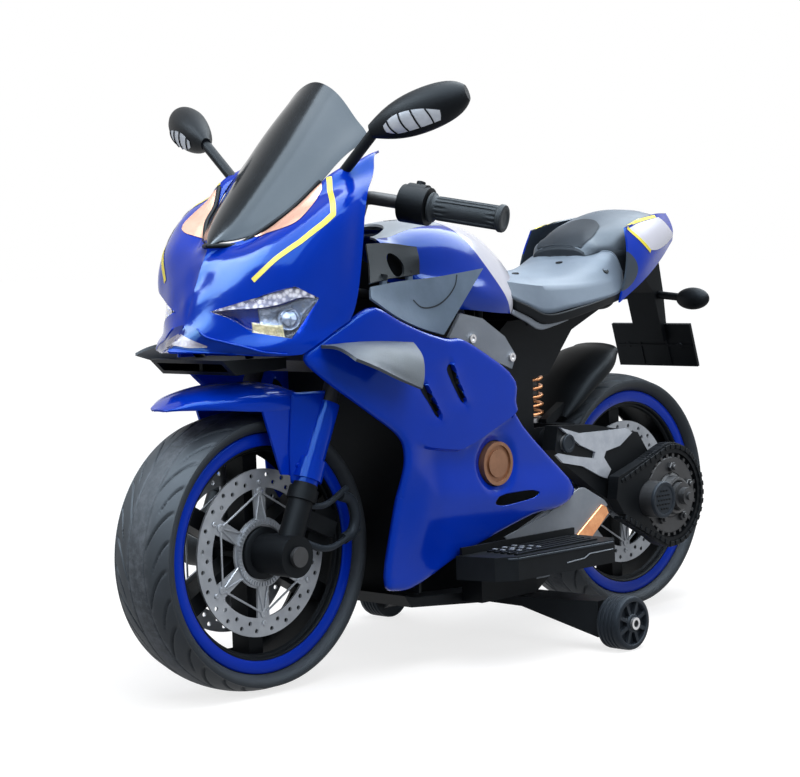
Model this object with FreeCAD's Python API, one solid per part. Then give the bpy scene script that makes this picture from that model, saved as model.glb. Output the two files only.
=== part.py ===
import FreeCAD, Part
import math
import os

V = FreeCAD.Vector
os.makedirs("parts", exist_ok=True)

# Driving dimensions in mm. +X is forward, +Y is the rider's left, +Z is up.
WHEELBASE = 750.0
TYRE_R = 180.0
TYRE_W = 0.6 * TYRE_R
RIM_R = 0.85 * TYRE_R
DISC_R = 0.6 * TYRE_R
RAKE = 24.0
AXLE_R = 6.0
RUN = 0.05
GAP = 0.35
WALL = 3.0
TUBE_R = 12.0
STEM_R = 11.0
BAR_R = 9.0
GRIP_R = 16.0
HUB_R = 30.0
SPIGOT_R = 26.0
STAB_R = 37.5
STAB_W = 37.0
STAB_Y = 213.0
MODULE = 1.5
GEAR_TEETH = 56
PINION_TEETH = 16
BODY_DROP = 180.0
WIRE_R = 2.4
COIL_R = 19.5

# Derived layout
FORK_HALF = TYRE_W / 2 + 24
FRONT_X = WHEELBASE / 2
REAR_X = -WHEELBASE / 2
AXLE_Z = TYRE_R
BODY_Z = 2 * TYRE_R - BODY_DROP
SIN = math.sin(math.radians(RAKE))
COS = math.cos(math.radians(RAKE))
YHAT = V(0, 1, 0)
ORIGIN = V(0, 0, 0)
REAR_IN_BODY = REAR_X - FRONT_X
PIVOT = V(REAR_X + TYRE_R + 38, 0, BODY_Z + 96)

NODES = {}


# Points and small builders
def body(x, y, z):
    return V(FRONT_X + x, y, BODY_Z + z)


def fork(s, y=0.0, q=0.0):
    return V(FRONT_X - s * SIN + q * COS, y, AXLE_Z + s * COS + q * SIN)


def along(z):
    return (BODY_Z + z - AXLE_Z) / COS


def rod(a, b, r):
    d = b - a
    return Part.makeCylinder(r, d.Length, a, d)


def sleeve(a, b, r, bore):
    d = b - a
    u = V(d.x, d.y, d.z)
    u.normalize()
    return rod(a, b, r).cut(rod(a - u, b + u, bore))


def block(x0, x1, y0, y1, z0, z1):
    return Part.makeBox(x1 - x0, y1 - y0, z1 - z0, V(x0, y0, z0))


def body_block(x0, x1, y0, y1, z0, z1):
    return block(FRONT_X + x0, FRONT_X + x1, y0, y1, BODY_Z + z0, BODY_Z + z1)


def polygon(points):
    return Part.Face(Part.makePolygon(points + [points[0]]))


def side_prism(outline, y0, y1):
    return polygon([V(x, y0, z) for x, z in outline]).extrude(V(0, y1 - y0, 0))


def body_prism(outline, y0, y1):
    return side_prism([(FRONT_X + x, BODY_Z + z) for x, z in outline], y0, y1)


def mirror(shape):
    return shape.mirror(ORIGIN, YHAT)


def fuse(*shapes):
    return shapes[0].multiFuse(list(shapes[1:])).removeSplitter()


def one(shape):
    return max(shape.Solids, key=lambda s: s.Volume)


def near(shape, p):
    spot = Part.Vertex(p)
    return min(shape.Solids, key=lambda s: s.distToShape(spot)[0])


def reach(a, b, r, *tools):
    bar = rod(a, b, r)
    for tool in tools:
        bar = near(bar.cut(tool), a)
    return bar


def even(points, count):
    # A centripetal curve through the points, returned as evenly spaced points
    ext = [points[0] * 2 - points[1]] + points + [points[-1] * 2 - points[-2]]
    knots = [0.0]
    for a, b in zip(ext, ext[1:]):
        knots.append(knots[-1] + max((b - a).Length, 1e-6) ** 0.5)
    dense = []
    for i in range(1, len(ext) - 2):
        p = ext[i - 1:i + 3]
        k = knots[i - 1:i + 3]
        for j in range(24):
            t = k[1] + (k[2] - k[1]) * j / 24

            def mix(a, b, ta, tb):
                return a * ((tb - t) / (tb - ta)) + b * ((t - ta) / (tb - ta))
            a1 = mix(p[0], p[1], k[0], k[1])
            a2 = mix(p[1], p[2], k[1], k[2])
            a3 = mix(p[2], p[3], k[2], k[3])
            dense.append(mix(mix(a1, a2, k[0], k[2]), mix(a2, a3, k[1], k[3]), k[1], k[2]))
    dense.append(points[-1])
    run = [0.0]
    for a, b in zip(dense, dense[1:]):
        run.append(run[-1] + (b - a).Length)
    out = []
    j = 0
    for i in range(count):
        want = run[-1] * i / (count - 1)
        while j < len(run) - 2 and run[j + 1] < want:
            j += 1
        f = (want - run[j]) / max(run[j + 1] - run[j], 1e-9)
        out.append(dense[j] + (dense[j + 1] - dense[j]) * f)
    return out


def surface_of(rows, across_count=11, along_count=9):
    lines = [even(row, across_count) for row in rows]
    columns = [even([line[i] for line in lines], along_count) for i in range(across_count)]
    surface = Part.BSplineSurface()
    surface.interpolate(columns)
    return surface.toShape()


def skin(rows):
    return surface_of([[body(*p) for p in row] for row in rows])


def thick(face, wall):
    solid = face.makeOffsetShape(wall, 0.01, fill=True).Solids[0]
    if solid.Volume < 0:
        solid.reverse()
    return solid


def toward(face, inside):
    # The sign of an offset that moves the face toward the given point
    trial = thick(face, 2.0).CenterOfMass - face.CenterOfMass
    return 1.0 if trial.dot(inside - face.CenterOfMass) > 0 else -1.0


def across(half):
    left = [(x, y, z) for x, y, z in half]
    right = [(x, -y, z) for x, y, z in reversed(half[:-1])]
    return left + right


def about_axle(x0, profile):
    face = polygon([V(x0, y, AXLE_Z + r) for y, r in profile])
    return face.revolve(V(x0, 0, AXLE_Z), YHAT, 360)


def axle_rod(x0, y0, y1, r):
    return Part.makeCylinder(r, y1 - y0, V(x0, y0, AXLE_Z), YHAT)


def put(name, *solids):
    flat = []
    for s in solids:
        flat.extend(s.Solids)
    NODES[name] = flat


# Wheels
def tyre(x0):
    hw = TYRE_W / 2
    r0 = RIM_R + GAP
    drop = TYRE_R - RIM_R
    outer = [(35.5, r0), (35.5, r0 + 0.25 * drop), (hw - 4, r0 + 0.30 * drop), (hw, r0 + 0.46 * drop)]
    crown = []
    for i in range(0, 9):
        t = i / 8
        crown.append(((hw - 1.5) * (1 - t), TYRE_R - 0.38 * drop * (1 - t) ** 2.3))
    inner = [(0, TYRE_R - 8), (0.62 * hw, TYRE_R - 0.24 * drop - 7), (hw - 9, r0 + 0.44 * drop),
             (28, r0 + 0.2 * drop), (28, r0)]
    half = outer + crown
    ring = half + [(-y, r) for y, r in reversed(half[:-1])]
    hollow = [(-y, r) for y, r in reversed(inner)] + inner[1:]
    return about_axle(x0, ring + hollow)


def rim(x0, right_end, left_end):
    barrel = [(-36, RIM_R), (-36, RIM_R + 4.5), (-40, RIM_R + 4.5), (-40, RIM_R - 15), (-36, RIM_R - 16),
              (-16, RIM_R - 13)]
    barrel += [(16, RIM_R - 13), (36, RIM_R - 16), (40, RIM_R - 15), (40, RIM_R + 4.5),
               (36, RIM_R + 4.5), (36, RIM_R)]
    solid = about_axle(x0, barrel)
    solids = [axle_rod(x0, -HUB_R + 0.2, HUB_R - 0.2, HUB_R), axle_rod(x0, right_end, left_end, SPIGOT_R)]
    for i in range(6):
        arm = Part.makeBox(RIM_R - 25, 32, 24, V(x0 + 15, -16, AXLE_Z - 12))
        arm.rotate(V(x0, 0, AXLE_Z), YHAT, 30 + 60 * i)
        solids.append(arm)
    whole = fuse(solid, *solids)
    return one(whole.cut(axle_rod(x0, right_end - 1, left_end + 1, AXLE_R + RUN)))


def ring_wire(x0, y, r, cx=0.0, cz=0.0):
    return Part.Wire([Part.makeCircle(r, V(x0 + cx, y, AXLE_Z + cz), YHAT)])


def window(x0, y, r0, r1, mid, half0, half1):
    def at(r, a):
        t = math.radians(a)
        return V(x0 + r * math.cos(t), y, AXLE_Z + r * math.sin(t))
    edges = [Part.Arc(at(r0, mid - half0), at(r0, mid), at(r0, mid + half0)).toShape()]
    edges.append(Part.makeLine(at(r0, mid + half0), at(r1, mid + half1)))
    edges.append(Part.Arc(at(r1, mid + half1), at(r1, mid), at(r1, mid - half1)).toShape())
    edges.append(Part.makeLine(at(r1, mid - half1), at(r0, mid - half0)))
    return Part.Wire(edges)


def disc(x0, y):
    band = 0.775 * DISC_R
    wires = [ring_wire(x0, y, DISC_R), ring_wire(x0, y, SPIGOT_R + 0.3)]
    for i in range(6):
        wires.append(window(x0, y, 46, band, 60 * i, 19, 23))
    for row, spin in ((band + 0.075 * DISC_R, 0.0), (band + 0.155 * DISC_R, 7.5)):
        for i in range(24):
            t = math.radians(15 * i + spin)
            wires.append(ring_wire(x0, y, 3.0, row * math.cos(t), row * math.sin(t)))
    faces = Part.Face(wires[0])
    holes = [Part.Face(w) for w in wires[1:]]
    return one(faces.cut(Part.makeCompound(holes)).extrude(V(0, 3, 0)))


def toothed(x0, z0, y0, y1, teeth, bore, phase):
    pitch_r = MODULE * teeth / 2
    tip = pitch_r + 0.75 * MODULE
    root = pitch_r - 1.15 * MODULE
    step = 2 * math.pi / teeth
    points = []
    for i in range(teeth):
        mid = phase + i * step
        for r, wide in ((root, 0.285), (pitch_r, 0.195), (tip, 0.09), (tip, -0.09), (pitch_r, -0.195),
                        (root, -0.285)):
            a = mid - wide * step
            points.append(V(x0 + r * math.cos(a), y0, z0 + r * math.sin(a)))
    solid = polygon(points).extrude(V(0, y1 - y0, 0))
    if bore:
        solid = solid.cut(Part.makeCylinder(bore, y1 - y0 + 2, V(x0, y0 - 1, z0), YHAT))
    return one(solid)


DISC_Y = HUB_R
LEFT_HUB = FORK_HALF - 6.5
RIGHT_HUB = -(FORK_HALF - 5.0)
put("front_tyre", tyre(FRONT_X))
put("rear_tyre", tyre(REAR_X))
put("front_rim", rim(FRONT_X, -(FORK_HALF - 20), FORK_HALF - 20))
put("rear_rim", rim(REAR_X, RIGHT_HUB, LEFT_HUB))
front_disc = disc(FRONT_X, DISC_Y)
rear_disc = disc(REAR_X, DISC_Y)
put("front_discs", front_disc, mirror(front_disc))
put("rear_discs", rear_disc, mirror(rear_disc))

# Motor drive at the rear hub, in mesh at rest
GEAR_Y0 = LEFT_HUB - 12
GEAR_Y1 = LEFT_HUB - 1.5
CENTRES = MODULE * (GEAR_TEETH + PINION_TEETH) / 2
MOTOR_X = REAR_X + CENTRES
MOTOR_Z = AXLE_Z
gear_phase = math.pi / GEAR_TEETH
put("drive_gear", toothed(REAR_X, AXLE_Z, GEAR_Y0, GEAR_Y1, GEAR_TEETH, SPIGOT_R + 0.3, gear_phase))
ARM_Y0 = FORK_HALF - 2
ARM_Y1 = ARM_Y0 + 24
CAN_Y0 = ARM_Y1 + 0.4
CAN_Y1 = CAN_Y0 + 48
shaft = Part.makeCylinder(4, CAN_Y0 + 14 - GEAR_Y1, V(MOTOR_X, GEAR_Y1 - 1, MOTOR_Z), YHAT)
pinion = toothed(MOTOR_X, MOTOR_Z, GEAR_Y0 + 1, GEAR_Y1 - 0.5, PINION_TEETH, 0, math.pi)
put("motor_pinion", fuse(pinion, shaft))
can = Part.makeCylinder(27, CAN_Y1 - CAN_Y0, V(MOTOR_X, CAN_Y0, MOTOR_Z), YHAT)
can = can.cut(Part.makeCylinder(4 + RUN, 16, V(MOTOR_X, CAN_Y0 - 1, MOTOR_Z), YHAT))
for i in range(6):
    t = math.radians(60 * i)
    can = can.cut(Part.makeCylinder(4, 6, V(MOTOR_X + 15 * math.cos(t), CAN_Y1 - 5,
                                            MOTOR_Z + 15 * math.sin(t)), YHAT))
put("drive_motor", can)

# Fork and steering
FORK_TOP = along(232)
LOWER_TOP = 95.0
SLEEVE_TOP = along(187)
TUBE_LOW = 40.0


def leg(side):
    y = side * FORK_HALF
    return rod(fork(TUBE_LOW, y), fork(FORK_TOP + 4, y), TUBE_R)


yoke = Part.makeBox(44, 2 * FORK_HALF + 36, 18, V(-22, -FORK_HALF - 18, 0))
yoke.rotate(ORIGIN, YHAT, -RAKE)
yoke.translate(fork(FORK_TOP))
stem = rod(fork(FORK_TOP), fork(along(418)), STEM_R)
put("steering_fork", fuse(yoke, stem, leg(1), leg(-1)))

boss_y0 = FORK_HALF - 19
boss_y1 = FORK_HALF + 22


def lower(side):
    y = side * FORK_HALF
    tube = rod(fork(-12, y), fork(LOWER_TOP, y), 16.5)
    collar = rod(fork(LOWER_TOP - 22, y), fork(LOWER_TOP - 6, y), 19.5)
    y0 = boss_y0 if side > 0 else -boss_y1
    boss = axle_rod(FRONT_X, y0, y0 + boss_y1 - boss_y0, 27)
    whole = fuse(tube, collar, boss)
    whole = whole.cut(rod(fork(TUBE_LOW - 0.3, y), fork(LOWER_TOP + 5, y), TUBE_R + 0.2))
    return one(whole.cut(axle_rod(FRONT_X, y0 - 1, y0 + boss_y1 - boss_y0 + 1, AXLE_R + RUN)))


put("fork_lowers", lower(1), lower(-1))
put("fork_sleeves", *[sleeve(fork(LOWER_TOP + GAP, s * FORK_HALF), fork(SLEEVE_TOP, s * FORK_HALF), 15.5,
                             TUBE_R + 0.2) for s in (1, -1)])
axle = axle_rod(FRONT_X, -boss_y1 - 1, boss_y1 + 1, AXLE_R)
caps = [axle_rod(FRONT_X, boss_y1 + 0.3, boss_y1 + 6, 13),
        axle_rod(FRONT_X, -boss_y1 - 6, -boss_y1 - 0.3, 13)]
put("front_axle", fuse(axle, *caps))


def caliper(side):
    # Straddles the disc behind the leg and is carried by the leg
    centre = fork(58, 0, -72)
    b = Part.makeBox(40, 34, 56, V(-20, 0, -28))
    b.rotate(ORIGIN, YHAT, -RAKE)
    b.translate(V(centre.x, DISC_Y - 11, centre.z))
    pad = Part.makeBox(76, FORK_HALF - DISC_Y - 30, 22, V(-10, 0, -11))
    pad.rotate(ORIGIN, YHAT, -RAKE)
    pad.translate(V(centre.x, DISC_Y + 20, centre.z))
    slot = axle_rod(FRONT_X, DISC_Y - 2.5, DISC_Y + 5.5, DISC_R + 3)
    whole = fuse(b, pad).cut(slot)
    whole = one(whole.cut(rod(fork(0, FORK_HALF), fork(140, FORK_HALF), 16.5 + GAP)))
    return whole if side > 0 else mirror(whole)


put("front_calipers", caliper(1), caliper(-1))


# Front fender in polar stations about the front axle
def arch(x0, stations, wall):
    rows = []
    for deg, half, crown, edge in stations:
        c = math.cos(math.radians(deg))
        s = math.sin(math.radians(deg))
        row = []
        for t, up in ((-1, 0), (-0.97, 0.55), (-0.62, 0.88), (0, 1), (0.62, 0.88), (0.97, 0.55), (1, 0)):
            r = edge + (crown - edge) * up
            row.append(V(x0 + r * c, t * half, AXLE_Z + r * s))
        rows.append(row)
    face = surface_of(rows, 13, 9)
    return thick(face, wall * toward(face, V(x0, 0, AXLE_Z)))


F_HALF = TYRE_W / 2 + 12
fender = arch(FRONT_X, [
    (55, 13, TYRE_R + 56, TYRE_R + 52), (61, 38, TYRE_R + 52, TYRE_R + 38), (69, F_HALF - 9, TYRE_R + 47,
                                                                             TYRE_R + 22),
    (82, F_HALF - 1, TYRE_R + 41, TYRE_R + 6), (98, F_HALF, TYRE_R + 38, TYRE_R + 4), (112, F_HALF - 2,
                                                                                       TYRE_R + 36, TYRE_R + 10)], WALL)


def fender_side(side):
    y = side * FORK_HALF
    ring = sleeve(fork(LOWER_TOP + 6, y), fork(LOWER_TOP + 32, y), 19.5, 15.5 + 0.2)
    y0 = F_HALF - 4
    a = fork(LOWER_TOP + 6, 0, 17)
    b = fork(LOWER_TOP + 32, 0, 17)
    top = AXLE_Z + TYRE_R
    outline = [(a.x, a.z), (a.x + 16, a.z + 2), (FRONT_X + 22, top + 14), (FRONT_X - 40, top + 16),
               (b.x, b.z)]
    web = side_prism(outline, y0, y0 + 3.6)
    if side < 0:
        web = mirror(web)
    bridge = rod(fork(LOWER_TOP + 19, side * (y0 + 1), 17), fork(LOWER_TOP + 19, y, 17), 4)
    return [web, ring, bridge]


tubes = Part.makeCompound([rod(fork(60, s * FORK_HALF), fork(300, s * FORK_HALF),
                               15.5 + 0.2) for s in (1, -1)])
fender_all = fuse(fender, *(fender_side(1) + fender_side(-1))).cut(tubes)
print("fender solids", len(fender_all.Solids))
put("front_fender", one(fender_all))

# Handlebar group
BAR_C = fork(along(446), 0, 10)
CLAMP_S0 = along(392)
CLAMP_S1 = along(446) + 15
BEND_Y = 64.0


def bend(side):
    return BAR_C + V(0, side * BEND_Y, 0)


def bar_end(side):
    return BAR_C + V(-61, side * 238, -33)


def on_bar(side, t):
    a = bend(side)
    d = bar_end(side) - a
    d.normalize()
    return a + d * t


bar_parts = [rod(bend(-1), bend(1), BAR_R)]
for s in (1, -1):
    ball = Part.makeSphere(BAR_R, bend(s))
    bar_parts += [ball, rod(bend(s), bar_end(s), BAR_R)]
handlebar = fuse(*bar_parts)
put("handlebar", handlebar)
clamp = Part.makeBox(46, 56, CLAMP_S1 - CLAMP_S0, V(-20, -28, 0))
clamp.rotate(ORIGIN, YHAT, -RAKE)
clamp.translate(fork(CLAMP_S0))
clamp = clamp.cut(rod(fork(CLAMP_S0 - 5), fork(along(418) + GAP), STEM_R + 0.1))
clamp = clamp.cut(rod(BAR_C - V(0, 40, 0), BAR_C + V(0, 40, 0), BAR_R + 0.1))
put("top_yoke", one(clamp))
BAR_LEN = (bar_end(1) - bend(1)).Length


def grip(side):
    a = on_bar(side, 86)
    b = on_bar(side, BAR_LEN + 4)
    cap = on_bar(side, BAR_LEN + 0.3)
    body_part = rod(a, b, GRIP_R).cut(rod(on_bar(side, 80), cap, BAR_R + RUN))
    flange = sleeve(a, on_bar(side, 90), GRIP_R + 4, BAR_R + RUN)
    knob = sleeve(on_bar(side, BAR_LEN - 6), b, GRIP_R + 2.5, GRIP_R - 1)
    return one(fuse(body_part, flange, knob))


put("grip_left", grip(1))
put("throttle_grip", grip(-1))
BUTTON_UP = V(-0.35, 0.0, 0.94)
BUTTON_UP.normalize()
pods = []
for s in (1, -1):
    pod = rod(on_bar(s, 46), on_bar(s, 84), 25 if s > 0 else 21)
    lump = rod(on_bar(s, 52) + BUTTON_UP * 8, on_bar(s, 78) + BUTTON_UP * 8, 20 if s > 0 else 17)
    pod = fuse(pod, lump).cut(rod(on_bar(s, 30), on_bar(s, 100), BAR_R + 0.1))
    if s > 0:
        seat = on_bar(1, 65) + BUTTON_UP * 16
        pod = pod.cut(rod(seat, seat + BUTTON_UP * 30, 6.3))
        horn = rod(seat + BUTTON_UP * 3, seat + BUTTON_UP * 15.5, 6.0)
        put("horn_button", horn)
    pods.append(one(pod))
put("switch_pods", *pods)

# Nose cowl, one grid mirrored about the ridge
nose_rows = [
    [(116, 0, 264), (85, 43, 261), (50, 90, 256), (22, 116, 255), (-24, 134, 257)],
    [(88, 0, 292), (75, 38, 303), (50, 85, 306), (4, 129, 308), (-66, 147, 306)],
    [(70, 0, 335), (61, 42, 341), (45, 84, 348), (18, 130, 354), (-78, 151, 360)],
    [(56, 0, 366), (40, 48, 378), (18, 98, 398), (-32, 143, 424), (-92, 150, 442)],
    [(44, 0, 391), (9, 48, 404), (-40, 78, 440), (-86, 93, 480), (-160, 108, 510)]]
nose_face = skin(nose_rows)
RIGHT_HALF = block(-900, 900, -400, 0.15, -100, 1200)
nose_in = toward(nose_face, body(-60, 0, 330))
nose_left = one(thick(nose_face, nose_in * WALL).cut(RIGHT_HALF))
nose_tool_left = one(thick(nose_face, nose_in * (WALL + GAP)).cut(RIGHT_HALF))
lamp_out = V(0.72, 0.66, 0.2)
lamp_out.normalize()


def lamp_prism(points):
    base = [body(*p) - lamp_out * 60 for p in points]
    centre = V(0, 0, 0)
    for p in base:
        centre = centre + p * (1.0 / len(base))
    flat = [p - lamp_out * ((p - centre).dot(lamp_out)) for p in base]
    return flat, centre


lamp_points = [(75, 36, 312), (40, 88, 328), (7, 121, 338), (-14, 140, 325), (15, 119, 275),
               (50, 84, 285), (58, 60, 300)]
lamp_flat, lamp_mid = lamp_prism(lamp_points)
lamp_cut = polygon(lamp_flat).extrude(lamp_out * 140)
lamp_small = polygon([lamp_mid + (p - lamp_mid) * 0.985 for p in lamp_flat]).extrude(lamp_out * 140)
lens_left = one(thick(nose_face, nose_in * (WALL - 0.5)).cut(RIGHT_HALF).common(lamp_small))
seam_outline = [(7, 200), (7, 253.2), (-39.5, 283), (-101.5, 317.2), (-140, 300), (-140, 200)]
nose_left = one(nose_left.cut(lamp_cut).cut(body_prism(seam_outline, 60, 220)))
lamp_house = polygon([lamp_mid + (p - lamp_mid) * 0.9 for p in lamp_flat])
lamp_house = lamp_house.extrude(lamp_out * 100).cut(block(-900, 900, -400, 22, -100, 1200))
lamp_house = lamp_house.cut(nose_tool_left)
lamp_house = near(lamp_house, lamp_mid)
lamp_core = polygon([lamp_mid + lamp_out * 6 + (p - lamp_mid) * 0.82 for p in lamp_flat]).extrude(lamp_out * 140)
lamp_house = one(lamp_house.cut(lamp_core))
put("headlights", lens_left, mirror(lens_left), lamp_house, mirror(lamp_house))

# Windscreen
screen_lines = [((44, 392), (41, 5, 393)), ((23, 418), (9, 48, 405)), ((-38, 486), (-52, 80, 450)),
                ((-98, 551), (-108, 92, 499)), ((-151, 604), (-153, 96, 527))]
screen_rows = []
for (xc, zc), (xe, ye, ze) in screen_lines:
    row = []
    for t in (1.0, 0.7, 0.36, 0.0):
        k = max(0.0, (t - 0.15) / 0.85) ** 1.35
        row.append((xc + (xe - xc) * k, ye * t, zc + (ze - zc) * k))
    screen_rows.append(across(row))
screen_face = skin(screen_rows)
screen_face.translate(V(-1.0, 0, 1.0))
screen_in = WALL * toward(screen_face, body(-150, 0, 450))
screen = thick(screen_face, screen_in)
put("windscreen", one(screen))

# Side fairings from one skin trimmed in side view, with a lower inset layer
xs = (40, -30, -100, -200, -300, -420, -560)
side_table = [
    (-100, (96, 112, 119, 120, 119, 117, 114)), (0, (100, 120, 128, 129, 128, 126, 122)),
    (100, (104, 126, 137, 139, 138, 134, 127)), (200, (108, 132, 143, 145, 143, 138, 129)),
    (300, (112, 137, 148, 148, 145, 139, 130)), (360, (113, 139, 150, 149, 145, 139, 130))]
side_face = skin([[(x, y, z) for x, y in zip(xs, ys)] for z, ys in side_table])
side_low_face = side_face.translated(V(0, -8, 0))


def side_slab(face, y0, y1):
    return face.translated(V(0, y0, 0)).extrude(V(0, y1 - y0, 0))


upper_outline = [(5, 252), (-40, 281), (-102, 315), (-150, 291), (-200, 273), (-246, 261), (-274, 263),
                 (-391, 203),
                 (-382, 150), (-300, 118), (-270, 108), (-240, 112), (-163, 128), (-152, 142), (-97,
                                                                                                176), (-32, 219)]
lower_outline = [(-163, 138), (-240, 122), (-270, 118), (-300, 128), (-384, 158), (-380, 145),
                 (-541, 32), (-491, 8),
                 (-435, 8), (-365, -10), (-275, -37), (-217, -60), (-182, -69), (-137, -61), (-157,
                                                                                              53), (-165,
                                                                                                    110)]
upper = side_slab(side_face, -WALL, 0).common(body_prism(upper_outline, 60, 220))
lower_panel = side_slab(side_low_face, -WALL, 0).common(body_prism(lower_outline, 60, 220))
ledge_outline = [(-163, 138), (-240, 122), (-270, 118), (-300, 128), (-384, 158), (-382, 150),
                 (-300, 120),
                 (-270, 110), (-240, 114), (-163, 130)]
ledge = side_slab(side_low_face, -WALL, 7).common(body_prism(ledge_outline, 60, 220))
panel = fuse(upper, lower_panel, ledge)
gills = [[(-226, 226), (-240, 230), (-268, 190), (-286, 168), (-278, 165), (-252, 192)],
         [(-176, 210), (-190, 215), (-218, 175), (-236, 152), (-228, 149), (-202, 178)]]
for gill in gills:
    panel = panel.cut(body_prism(gill, 60, 220))
slot = [(-340, 29), (-350, 43), (-420, 42), (-440, 37), (-425, 30), (-360, 24)]
panel = panel.cut(body_prism(slot, 60, 220))
CAP = body(-350, 0, 86)
CAP_R = 30.0
panel = panel.cut(Part.makeCylinder(CAP_R + GAP, 400, V(CAP.x, 0, CAP.z), YHAT))
panel = one(panel)
put("side_fairing_left", panel)
put("side_fairing_right", mirror(panel))
side_tool = side_slab(side_face, -WALL - GAP, 80)
side_low_tool = side_slab(side_low_face, -WALL - GAP, 80)
cap_y = 132.0
cap_disc = Part.makeCylinder(CAP_R, 16, V(CAP.x, cap_y - 16, CAP.z), YHAT)
groove = Part.makeCylinder(CAP_R - 5, 4, V(CAP.x, cap_y - 3, CAP.z), YHAT)
groove = groove.cut(Part.makeCylinder(CAP_R - 11, 4, V(CAP.x, cap_y - 3, CAP.z), YHAT))
cap_disc = one(cap_disc.cut(groove))
put("engine_caps", cap_disc, mirror(cap_disc))

# Winglets
wing_rows = [
    [(-22, 128, 266), (-72, 138, 268), (-122, 140, 268), (-176, 140, 266)],
    [(-14, 168, 265), (-62, 176, 264), (-112, 178, 256), (-160, 176, 244)],
    [(-8, 194, 259), (-52, 196, 252), (-98, 196, 238), (-143, 194, 220)],
    [(-5, 212, 252), (-46, 209, 238), (-86, 206, 222), (-130, 202, 206)]]
wing = thick(skin(wing_rows), 4.0)
wing_cutter = side_slab(side_face, -30, GAP)
wing = one(wing.cut(wing_cutter))
put("winglets", wing, mirror(wing))

# Tank, with its top panel parted from the same shell
tank_sections = [
    (-186, ((78, 346), (83, 368), (75, 391), (40, 398), (0, 400))),
    (-250, ((98, 308), (100, 346), (75, 398), (40, 410), (0, 413))),
    (-330, ((101, 298), (103, 342), (71, 402), (36, 415), (0, 419))),
    (-400, ((97, 290), (98, 326), (68, 380), (36, 402), (0, 409))),
    (-455, ((82, 286), (82, 312), (56, 350), (30, 372), (0, 384))),
    (-492, ((52, 284), (50, 304), (36, 325), (18, 335), (0, 340)))]
tank_face = skin([across([(x, y, z) for y, z in half]) for x, half in tank_sections])
tank_in = WALL * toward(tank_face, body(-330, 0, 330))
tank = thick(tank_face, tank_in)
tank_tool = thick(tank_face, tank_in * (1 + GAP / WALL))
steer_space = rod(fork(along(300)), fork(along(520)), 62)
tank = one(tank.cut(steer_space))
panel_outline = [(-160, -75), (-160, 75), (-328, 60), (-328, -60)]


def plan_prism(outline, grow):
    points = [body(x - (grow if x < -300 else 0), y + (grow if y > 0 else -grow), 340) for x,
              y in outline]
    return polygon(points).extrude(V(0, 0, 200))


tank_top = tank.common(plan_prism(panel_outline, 0))
switch_at = body(-292, 0, 0)
switch_hole = block(switch_at.x - 11, switch_at.x + 11, -7.5, 7.5, BODY_Z + 300, BODY_Z + 600)
tank_top = one(tank_top.cut(switch_hole))
tank_cover = one(tank.cut(plan_prism(panel_outline, GAP)))
put("tank_cover", tank_cover)
switch_z = BODY_Z + 417.5
HINGE_R = 2.0
hinge_at = V(switch_at.x, 0, switch_z - 5)
ears = []
for y0 in (7.8, -10.2):
    ears.append(block(hinge_at.x - 4, hinge_at.x + 4, y0, y0 + 2.4, hinge_at.z - 4, hinge_at.z + 6.8))
hinge_pin = rod(hinge_at - V(0, 10, 0), hinge_at + V(0, 10, 0), HINGE_R)
tank_top = fuse(tank_top, hinge_pin, *ears)
print("top panel solids", len(tank_top.Solids))
put("tank_top_panel", one(tank_top))
rocker = block(switch_at.x - 9.6, switch_at.x + 9.6, -7, 7, switch_z - 9, switch_z - 1)
rocker_tip = [(switch_at.x - 9.6, switch_z - 1.5), (switch_at.x - 9.6, switch_z + 3),
              (switch_at.x, switch_z),
              (switch_at.x + 9.6, switch_z + 3), (switch_at.x + 9.6, switch_z - 1.5)]
rocker = fuse(rocker, side_prism(rocker_tip, -7, 7))
put("power_switch", one(rocker.cut(rod(hinge_at - V(0, 20, 0), hinge_at + V(0, 20, 0), HINGE_R + RUN))))

# Knee ducts and frame spars
duct_rows = [
    [(-104, 142, 321), (-150, 141, 296), (-200, 138, 278), (-246, 134, 267)],
    [(-108, 137, 327), (-165, 132, 312), (-225, 128, 300), (-285, 126, 298)],
    [(-114, 131, 335), (-175, 123, 340), (-245, 119, 343), (-345, 118.5, 352)]]
mouth_rows = [
    [(-118, 127, 340), (-168, 119, 345), (-222, 116, 348)],
    [(-136, 108, 366), (-180, 107, 368), (-224, 114, 368)],
    [(-150, 90, 390), (-188, 92, 390), (-228, 106, 384)]]
duct_face = skin(duct_rows)
mouth_face = skin(mouth_rows)
duct_in = toward(duct_face, body(-220, 40, 300))
mouth_in = toward(mouth_face, body(-220, 40, 300))
mouth = thick(mouth_face, mouth_in * WALL)
hole_at = body(-182, 105, 362)
mouth = mouth.cut(rod(hole_at - V(0, 40, -12), hole_at + V(0, 40, -12), 13))
duct = thick(duct_face, duct_in * WALL)
joint_rods = [rod(body(-150, 118, 336), body(-152, 119, 350), 5),
              rod(body(-205, 112, 337), body(-207, 111, 353), 5)]
duct = one(fuse(duct, mouth, *joint_rods))
duct_tool = thick(duct_face, duct_in * (WALL + GAP))
put("duct_panels", duct, mirror(duct))
SPAR_Y = 119.0
spar_outline = [(-296, 293), (-340, 284), (-385, 257), (-407, 230), (-398, 212), (-313, 243), (-272, 262)]
spar = body_prism(spar_outline, SPAR_Y - 5, SPAR_Y)
put("frame_spars", spar, mirror(spar))

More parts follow.
